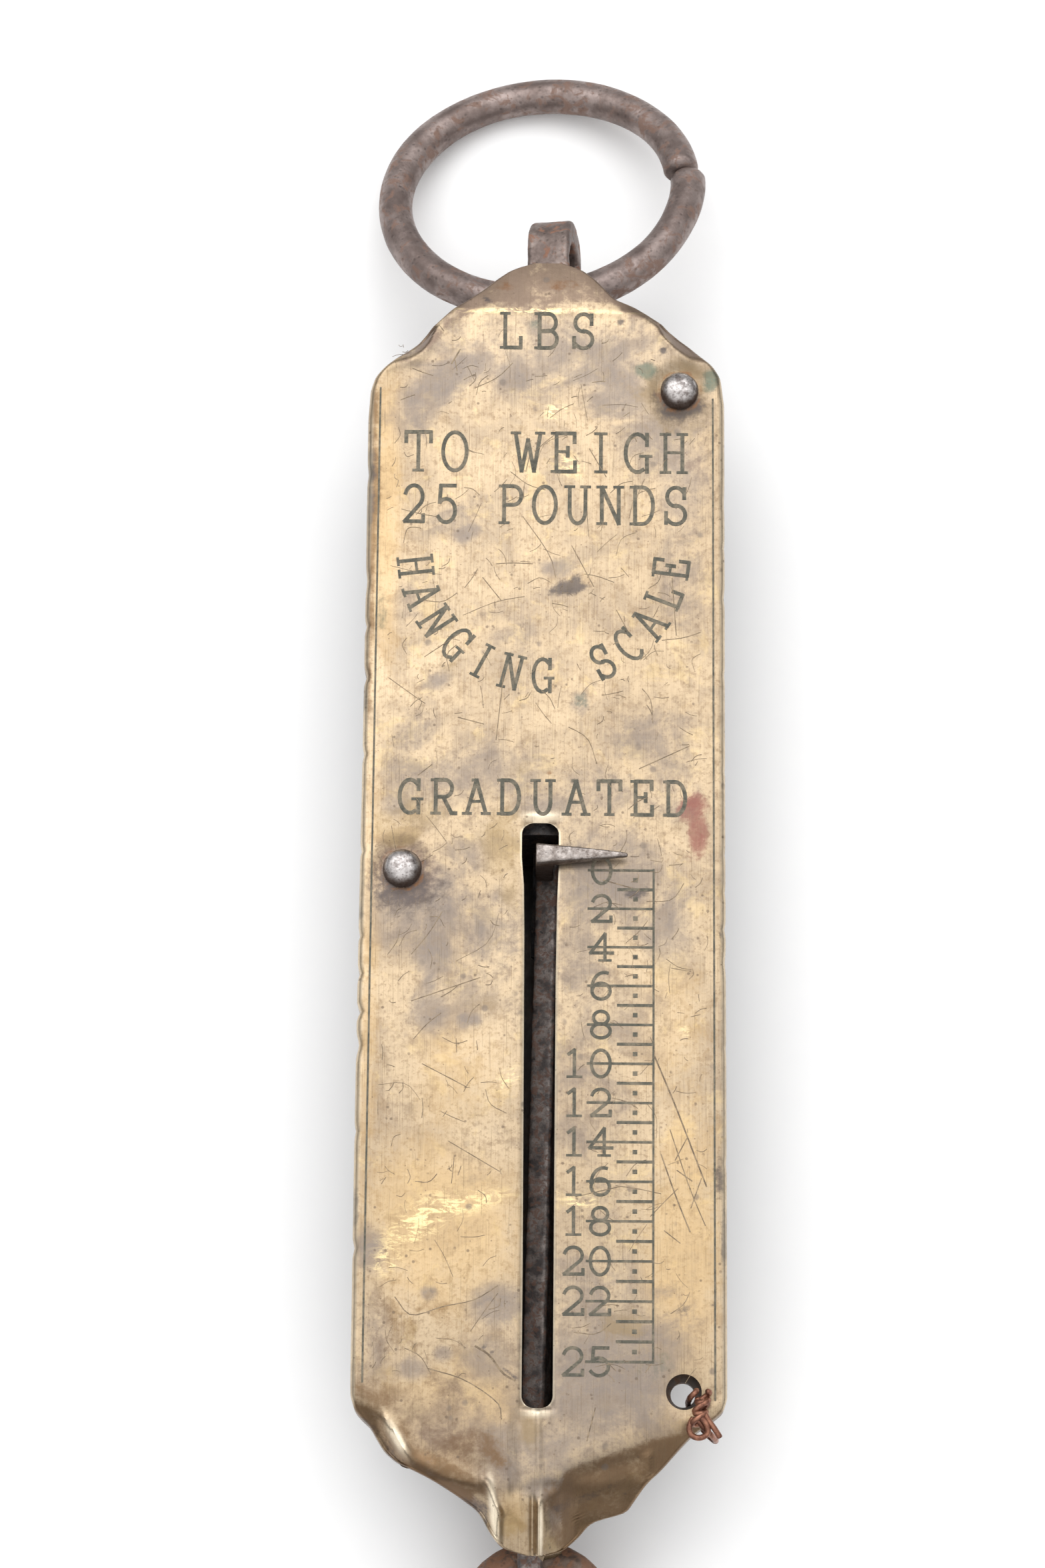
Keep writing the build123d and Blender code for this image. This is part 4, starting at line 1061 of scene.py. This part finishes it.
def scored_lines(material):
    """The longer scratches, and many short ones at random, each a fine dark line."""
    lines = Inlay()

    def near_slot(x, y):
        return -3 < x < 2.6 and y < 8

    for width, *route in SCORES:
        lines.stroke(smooth_flat(route), width)
    for _ in range(560):
        x, y = rng.uniform(-17, 17), rng.uniform(-52, 61)
        if near_slot(x, y):
            continue
        turn, length = rng.normal(0.9, 0.9), rng.exponential(1.3) + 0.4
        bend = rng.normal(0, 0.12) * length
        u, v = math.cos(turn), math.sin(turn)
        route = ((x, y), (x + u * length / 2 - v * bend, y + v * length / 2 + u * bend),
                 (x + u * length, y + v * length))
        if abs(route[2][0]) < 17.3 and not near_slot(*route[2]):
            lines.stroke(smooth_flat(route), rng.uniform(0.03, 0.075))
    lines.finish("face_scratches", material)


def smooth_flat(route):
    """A smooth line through flat places."""
    return [(p[0], p[1]) for p in smooth_route([(x, y, 0.0) for x, y in route])[::3]]


# ---------------------------------------------------------------- rivets, pointer, bar
# Half sections of a rivet: radius and height above the face.
RIVET_HEAD = ((0.38, 1.45), (0.75, 1.42), (1.12, 1.33), (1.45, 1.17), (1.72, 0.92), (1.9, 0.62),
              (2.0, 0.34), (2.04, 0.1), (2.02, -0.25))
RIVET_TAIL = ((1.2, -0.25), (1.2, -3.9), (1.2, -4.3), (1.78, -4.32), (1.8, -4.6), (1.6, -4.86), (0.9, -4.9))


def rivet(name, node, x, y, material, seed):
    """A hammered dome with its shank and the peened tail at the back."""
    sides = 40
    points = [(x, y, FACE_Z + 1.46)]
    for r, z in RIVET_HEAD + RIVET_TAIL:
        points += [(x + r * math.cos(2 * math.pi * k / sides), y + r * math.sin(2 * math.pi * k / sides),
                    FACE_Z + z) for k in range(sides)]
    end = len(points)
    points.append((x, y, FACE_Z - 4.92))
    faces = [(0, 1 + k, 1 + (k + 1) % sides) for k in range(sides)]
    for a in range(1, end - sides, sides):
        b = a + sides
        faces += [(a + k, b + k, b + (k + 1) % sides, a + (k + 1) % sides) for k in range(sides)]
    last = end - sides
    faces += [(last + k, end, last + (k + 1) % sides) for k in range(sides)]
    made = piece_from(name, points, faces, material)
    smooth = made.modifiers.new("smooth", "SUBSURF")
    smooth.levels = smooth.render_levels = 1
    apply_modifiers(made)
    roughen(made, 0.9, 0.05, seed)
    _, ys, zs = points_of(made).T
    # Darker round the foot of the dome, reaching higher on its -y side: painted shade, and rust at the rim.
    paint(made, "dark", ramp(0.24 * (y - ys) - zs, -FACE_Z - 1.1, 0.7))
    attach(made, "case")
    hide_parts(node)


def pointer(material):
    """A forged needle, square at the slot and drawn out to a point, with its stem down to the bar."""
    butt, length = -0.72, 9.5
    points = []
    n = 6
    for t in np.linspace(0, 1, 22):
        x = butt + length * t
        half = 1.02 * (1 - t) ** 0.9 + 0.2
        y = 2.85 + 0.35 * t - 0.28 * t * t
        top = 20.95 - 0.25 * t
        low = 19.5 + 0.55 * t
        points += [(x, y - half, low + 0.12), (x, y - half * 0.98, (low + top) / 2 + 0.1),
                   (x, y - half * 0.72, top), (x, y + half * 0.8, top + 0.02),
                   (x, y + half, top - 0.3), (x, y + half * 0.9, low)]
    base = len(points)
    faces = [tuple(range(n)), tuple(range(base - 1, base - n - 1, -1))]
    for a in range(0, base - n, n):
        b = a + n
        faces += [(a + k, b + k, b + (k + 1) % n, a + (k + 1) % n) for k in range(n)]
    for x, y in ((butt, 1.85), (1.1, 1.85), (1.1, 3.85), (butt, 3.85)):
        points += [(x, y, 13.1), (x, y, 19.9)]
    box = ((0, 2, 3, 1), (2, 4, 5, 3), (4, 6, 7, 5), (6, 0, 1, 7), (6, 4, 2, 0), (1, 3, 5, 7))
    faces += [tuple(base + k for k in corners) for corners in box]
    made = piece_from("pointer_needle", points, faces, material)
    edit_mesh(made, lambda mesh: bmesh.ops.recalc_face_normals(mesh, faces=mesh.faces))
    bevel = made.modifiers.new("bevel", "BEVEL")
    bevel.width = 0.12 * MM
    bevel.segments = 2
    bevel.angle_limit = math.radians(25)
    apply_modifiers(made)
    remesh(made, 0.075)
    roughen(made, 0.7, 0.03, 4.0)
    _, ys, zs = points_of(made).T
    # Darker on the lower faces and along the -y flank below the top: painted shade.
    shaded_flank = ramp(-ys, -2.3, 0.4) * ramp(-zs, -20.75, 0.2)
    paint(made, "dark", np.maximum(ramp(-zs, -20.3, 0.5), shaded_flank))
    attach(made, "draw_bar_body")
    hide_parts("pointer")


# The bar is drawn about its middle, then turned a little about Z and about its own length.
BAR_PLACE = (Matrix.Translation([v * MM for v in (0.1, -35.0, 11.5)])
             @ Matrix.Rotation(math.radians(-1.1), 4, "Z") @ Matrix.Rotation(math.radians(-15.0), 4, "Y"))


def draw_bar(material):
    """The forged bar seen through the slot, with the loop that carries the hook."""
    half, top, outer, inner = 1.5, 40.4, 4.75, 3.05
    loop = (-33.25, -3.25)
    join = math.degrees(math.acos((outer - 1.7) / outer))
    side = [(top, -half), (top, half)] + arc(*loop, outer, outer, 90, 450 - join - 20, 40)
    side += [(loop[0] + 4.6, -half * 0.4), (loop[0] + 6.4, -half)]
    hole = arc(*loop, inner, inner, 0, 360, 33)[:-1]
    made = profile_solid("draw_bar_forged", side, [hole], 1.2, 0.3, material)
    remesh(made, 0.17)
    roughen(made, 2.2, 0.07, 9.0)
    made.data.transform(BAR_PLACE)
    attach(made, "draw_bar_body")
    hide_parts("draw_bar")


# ---------------------------------------------------------------- eye, ring, hook, spring, wire
def suspension_eye(material):
    """The forged eye at the top: a long slot between two legs under a rounded crown."""
    width, depth, top, crown, slot = 4.6, 7.3, 75.95, 2.8, 5.4
    shoulder, shank_low, shank = 62.4, 55.1, 3.0
    radius, inner = depth / 2, slot / 2
    outer = [(shoulder, -radius), (shank_low, -radius), (shank_low, shank - radius),
             (shoulder, shank - radius), (shoulder + 0.7, radius - 0.4), (shoulder + 1.4, radius)]
    outer += arc(top - radius, 0, radius, radius, 90, -90, 25)
    hole = arc(top - crown - inner, 0, inner, inner, 90, -90, 17)
    hole += arc(RING_PIN.y, 0, inner, inner, -90, -270, 17)
    made = profile_solid("suspension_eye_forged", outer[::-1], [hole], width / 2, 0.45, material)
    remesh(made, 0.13)
    roughen(made, 1.8, 0.06, 2.0)
    made.data.transform(Matrix.Translation((0.75 * MM, 0, RING_PIN.z * MM))
                        @ Matrix.Rotation(math.radians(-12.0), 4, "Y"))
    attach(made, "case")
    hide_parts("suspension_eye")


def suspension_ring(material):
    """A hand-bent iron ring, not quite closed, its two ends a little out of line."""
    half_long, half_wide, bar, shift = 16.17, 15.43, 1.9, 1.76
    gap, opening = math.radians(9.0), 0.25 / half_long
    slope = math.radians(-20.4)
    count = 220
    path, radii = [], []
    trims = rounded_ends(count, 1.0, 2 * math.pi * 16 / count, 0.12)
    for i, a in enumerate(np.linspace(gap + opening, gap + 2 * math.pi - opening, count)):
        near_end = math.exp(-((a - gap) / 0.3) ** 2)
        far_end = math.exp(-((a - gap - 2 * math.pi) / 0.3) ** 2)
        wobble = 0.07 * math.sin(3 * a + 0.6)
        grow = 1 + (0.34 * far_end - 0.24 * near_end + wobble) / half_long
        path.append((half_long * grow * math.cos(a), half_wide * grow * math.sin(a),
                     0.3 * near_end - 0.25 * far_end + 0.1 * math.sin(2 * a)))
        radii.append((bar + 0.04 * math.sin(5 * a + 1)) * trims[i])
    made = tube("suspension_ring_bent", path, radii, material, 40)
    to_centre = half_wide * math.sqrt(1 - (shift / half_long) ** 2)
    roll = math.atan2(-RING_AXIS.z, RING_AXIS.x)
    place = (Matrix.Translation(RING_PIN * MM) @ Matrix.Rotation(roll, 4, "Y")
             @ Matrix.Rotation(slope, 4, "X") @ Matrix.Translation((-shift * MM, to_centre * MM, 0)))
    roughen(made, 2.2, 0.022, 5.0)
    made.data.transform(place)
    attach(made, "ring_body")
    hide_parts("suspension_ring")


def load_hook(material):
    """A round bar bent to an eye, a neck and a bowl, drawn out to a blunt tip."""
    bar, eye, neck, bowl, flare = 2.0, 6.4, 8.0, 9.5, 6.0
    neck_turn = math.radians(60)
    reach = neck + bowl
    centre = (neck - reach * math.cos(neck_turn), -2 * eye - reach * math.sin(neck_turn))
    path = arc(0, -eye, eye, eye, -62, 270, 70)
    path += arc(neck, -2 * eye, neck, neck, 180, 240, 24)[1:]
    path += arc(*centre, bowl, bowl, 60, -180, 80)[1:]
    path += arc(centre[0] - bowl - flare, centre[1], flare, flare, 0, 35, 14)[1:]
    step = 0.45
    path = even([(x, y, 0.0) for x, y in path], step)
    count = len(path)
    to_tip = np.arange(count)[::-1] * step
    radii = np.full(count, bar) + 0.05 * np.sin(np.arange(count) / 5.0)
    radii *= np.clip(0.38 + to_tip / 9.0, 0, 1) ** 0.8
    radii *= rounded_ends(count, 1.0, step, 0.5)
    made = tube("load_hook_bent", path, list(radii), material, 36)
    length = 2 * eye + bowl + reach * math.sin(neck_turn)
    drop = math.asin((HOOK_PIN.z - bar - 0.02) / length)
    roughen(made, 1.5, 0.06, 12.0)
    made.data.transform(Matrix.Translation(HOOK_PIN * MM) @ Matrix.Rotation(drop, 4, "X"))
    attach(made, "load_hook_body")
    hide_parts("load_hook")


def coil_spring(material):
    """The extension spring, wound as one piece."""
    wire, outer, top, pitch, turns, z = 1.8, 14.0, 52.5, 2.05, 22, 10.2
    low = top - turns * pitch
    radius = (outer - wire) / 2
    count = turns * 32
    path = []
    for i in range(count + 1):
        t = i / count
        a = 2 * math.pi * (turns - wire / pitch) * t
        path.append((radius * math.cos(a), low + wire / 2 + (top - low - wire) * t,
                     z - radius * math.sin(a)))
    made = tube("coil_spring_wound", path, [wire / 2] * len(path), material, 14)
    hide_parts("coil_spring")
    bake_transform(made)


def winding(count, turns, lead, start, drift, swing):
    """A line that drifts away from its start while it winds round, from the angle lead."""
    path = []
    for i in range(count):
        t = i / (count - 1)
        a = 2 * math.pi * turns * t + lead
        path.append([p + d * t + w * wave for p, d, w, wave
                     in zip(start, drift, swing, (math.cos(a), math.cos(a), math.sin(a)))])
    return path


def seal_wire(material):
    """Copper wire through the open hole and round the edge, twisted together on the front."""
    front, back = FACE_Z + 0.42, FACE_Z - WALL - 0.42
    loop = ((15.9, -52.2, front + 0.55), (15.6, -52.6, front + 0.9), (15.25, -52.9, front + 0.4),
            (15.15, -53.0, FACE_Z - 0.6), (15.15, -53.1, back + 0.6), (15.5, -53.9, back),
            (16.7, -55.6, back - 0.1), (17.7, -56.7, back + 0.6), (17.85, -56.9, FACE_Z - 1.8),
            (17.3, -56.6, front - 0.3), (16.6, -56.0, front + 0.35), (15.9, -55.2, front + 0.9))
    twist = winding(30, 2.2, 0, (16.1, -54.9, front + 0.75), (0.5, 2.4, 0), (0.55, 0.2, 0.45))
    wrap = winding(34, 2.4, math.pi, (16.5, -52.9, front + 0.8), (-0.6, -2.9, 0), (0.62, 0.25, 0.5))
    tail = ((16.5, -54.4, front + 1.1), (17.0, -55.3, front + 1.0), (17.6, -56.1, front + 0.8),
            (18.2, -57.0, front + 0.62))
    turn = ((15.5, -55.0, front + 0.8), (15.1, -55.9, front + 0.7), (15.3, -56.7, front + 0.55),
            (16.1, -57.0, front + 0.5), (16.9, -56.6, front + 0.8), (16.8, -55.7, front + 1.1),
            (16.2, -55.0, front + 1.2))
    step = 0.12
    for name, route in (("loop", loop), ("twist", twist), ("wrap", wrap), ("tail", tail), ("turn", turn)):
        path = even(smooth_route(route), step)
        radii = list(0.3 * rounded_ends(len(path), 1.0, step, 0.25))
        made = tube("seal_wire_" + name, path, radii, material, 14)
        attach(made, "case")
        if name == "loop":
            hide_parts("seal_wire")


# ---------------------------------------------------------------- stage
def stage(material):
    """The table top under the scale."""
    half = 600.0
    made = piece_from("table", [(-half, -half, 0), (half, -half, 0), (half, half, 0), (-half, half, 0)],
                      [(0, 1, 2, 3)], material)


def camera():
    """100 mm lens above the face, looking down along it at about 15 degrees from upright."""
    tilt, roll = math.radians(74.74), math.radians(0.537)
    forward = Vector((0, math.cos(tilt), -math.sin(tilt)))
    right = Vector((1, 0, 0))
    up = right.cross(forward)
    turned_right = right * math.cos(roll) + up * math.sin(roll)
    turned_up = up * math.cos(roll) - right * math.sin(roll)
    data = bpy.data.cameras.new("camera")
    data.lens = 100.0
    data.sensor_width = 36.0
    data.clip_start = 0.01
    seen = bpy.data.objects.new("camera", data)
    seen.matrix_world = Matrix.Translation(Vector((-2.19, -108.69, 457.06)) * MM) @ Matrix(
        (turned_right, turned_up, -forward)).transposed().to_4x4()
    scene.collection.objects.link(seen)
    scene.camera = seen


def softbox(name, place, aim, size, power):
    """A rectangular lamp, in metres, aimed at a point."""
    data = bpy.data.lights.new(name, "AREA")
    data.shape = "RECTANGLE"
    data.size, data.size_y = size
    data.energy = power
    lamp = bpy.data.objects.new(name, data)
    lamp.location = place
    lamp.rotation_euler = (Vector(aim) - Vector(place)).to_track_quat("-Z", "Y").to_euler()
    scene.collection.objects.link(lamp)


def lights():
    """A white studio, brightest overhead, with one large soft lamp beyond the ring."""
    world = bpy.data.worlds.new("studio")
    scene.world = world
    world.use_nodes = True
    tree = world.node_tree
    background = tree.nodes["Background"]
    direction = tree.nodes.new("ShaderNodeTexCoord")
    split = tree.nodes.new("ShaderNodeSeparateXYZ")
    fade = tree.nodes.new("ShaderNodeMapRange")
    fade.interpolation_type = "SMOOTHSTEP"
    for socket, value in (("From Min", 0.08), ("From Max", 0.9), ("To Min", 0.2), ("To Max", 1.36)):
        fade.inputs[socket].default_value = value
    tree.links.new(direction.outputs["Generated"], split.inputs[0])
    tree.links.new(split.outputs["Z"], fade.inputs["Value"])
    tree.links.new(fade.outputs["Result"], background.inputs["Strength"])
    background.inputs["Color"].default_value = (1, 1, 1, 1)
    softbox("top_softbox", (-0.12, 0.5, 0.85), (0, 0.05, 0), (1.1, 0.7), 3.6)
    scene.view_settings.view_transform = "Standard"


# ---------------------------------------------------------------- build
brass = brass_material()
forged = iron_material("forged_iron", (106, 93, 88), (140, 127, 121), (142, 100, 78), 0.16)
bar_iron = iron_material("bar_iron", (78, 71, 69), (146, 135, 129), (112, 80, 64), 0.2, 0.45, 0.35)
ring_iron = iron_material("ring_iron", (118, 104, 99), (150, 136, 131), (126, 98, 84), 0.17, 1.1, 0.82)
hook_iron = iron_material("hook_iron", (98, 82, 72), (134, 116, 104), (132, 92, 66), 0.3)
pointer_steel = worn_steel_material("pointer_steel", (168, 160, 155), (116, 106, 100))
rivet_steel = worn_steel_material("rivet_steel", (198, 193, 191), (112, 104, 101))
inner_steel = iron_material("oiled_steel", (44, 42, 42), (76, 74, 74), (78, 62, 52), 0.18, 1.0, 0.7)
spring_steel = iron_material("spring_steel", (50, 48, 49), (86, 84, 85), (84, 64, 52), 0.2, 0.8, 0.75)
copper = copper_material()
japan = japanned_material()
engraving = engraving_material()

# The CAD nodes that stay as they are get better materials.
for look, nodes in ((japan, ("back_channel", "top_end_plate", "bottom_end_plate")),
                    (forged, ("corner_rivet_washer", "side_rivet_washer")),
                    (inner_steel, ("eye_pin", "upper_spring_plug", "lower_spring_plug", "bar_pin"))):
    for node in nodes:
        frame["nodes"][node].data.materials.clear()
        frame["nodes"][node].data.materials.append(look)

brass_face(brass)
lettering(engraving)
graduations(engraving)
scored_lines(scratch_material())
rivet("corner_rivet_dome", "corner_rivet", *RIVETS[0], rivet_steel, 1.0)
rivet("side_rivet_dome", "side_rivet", *RIVETS[1], rivet_steel, 3.0)
pointer(pointer_steel)
draw_bar(bar_iron)
suspension_eye(forged)
suspension_ring(ring_iron)
load_hook(hook_iron)
coil_spring(spring_steel)
seal_wire(copper)
stage(floor_material())
lights()
camera()
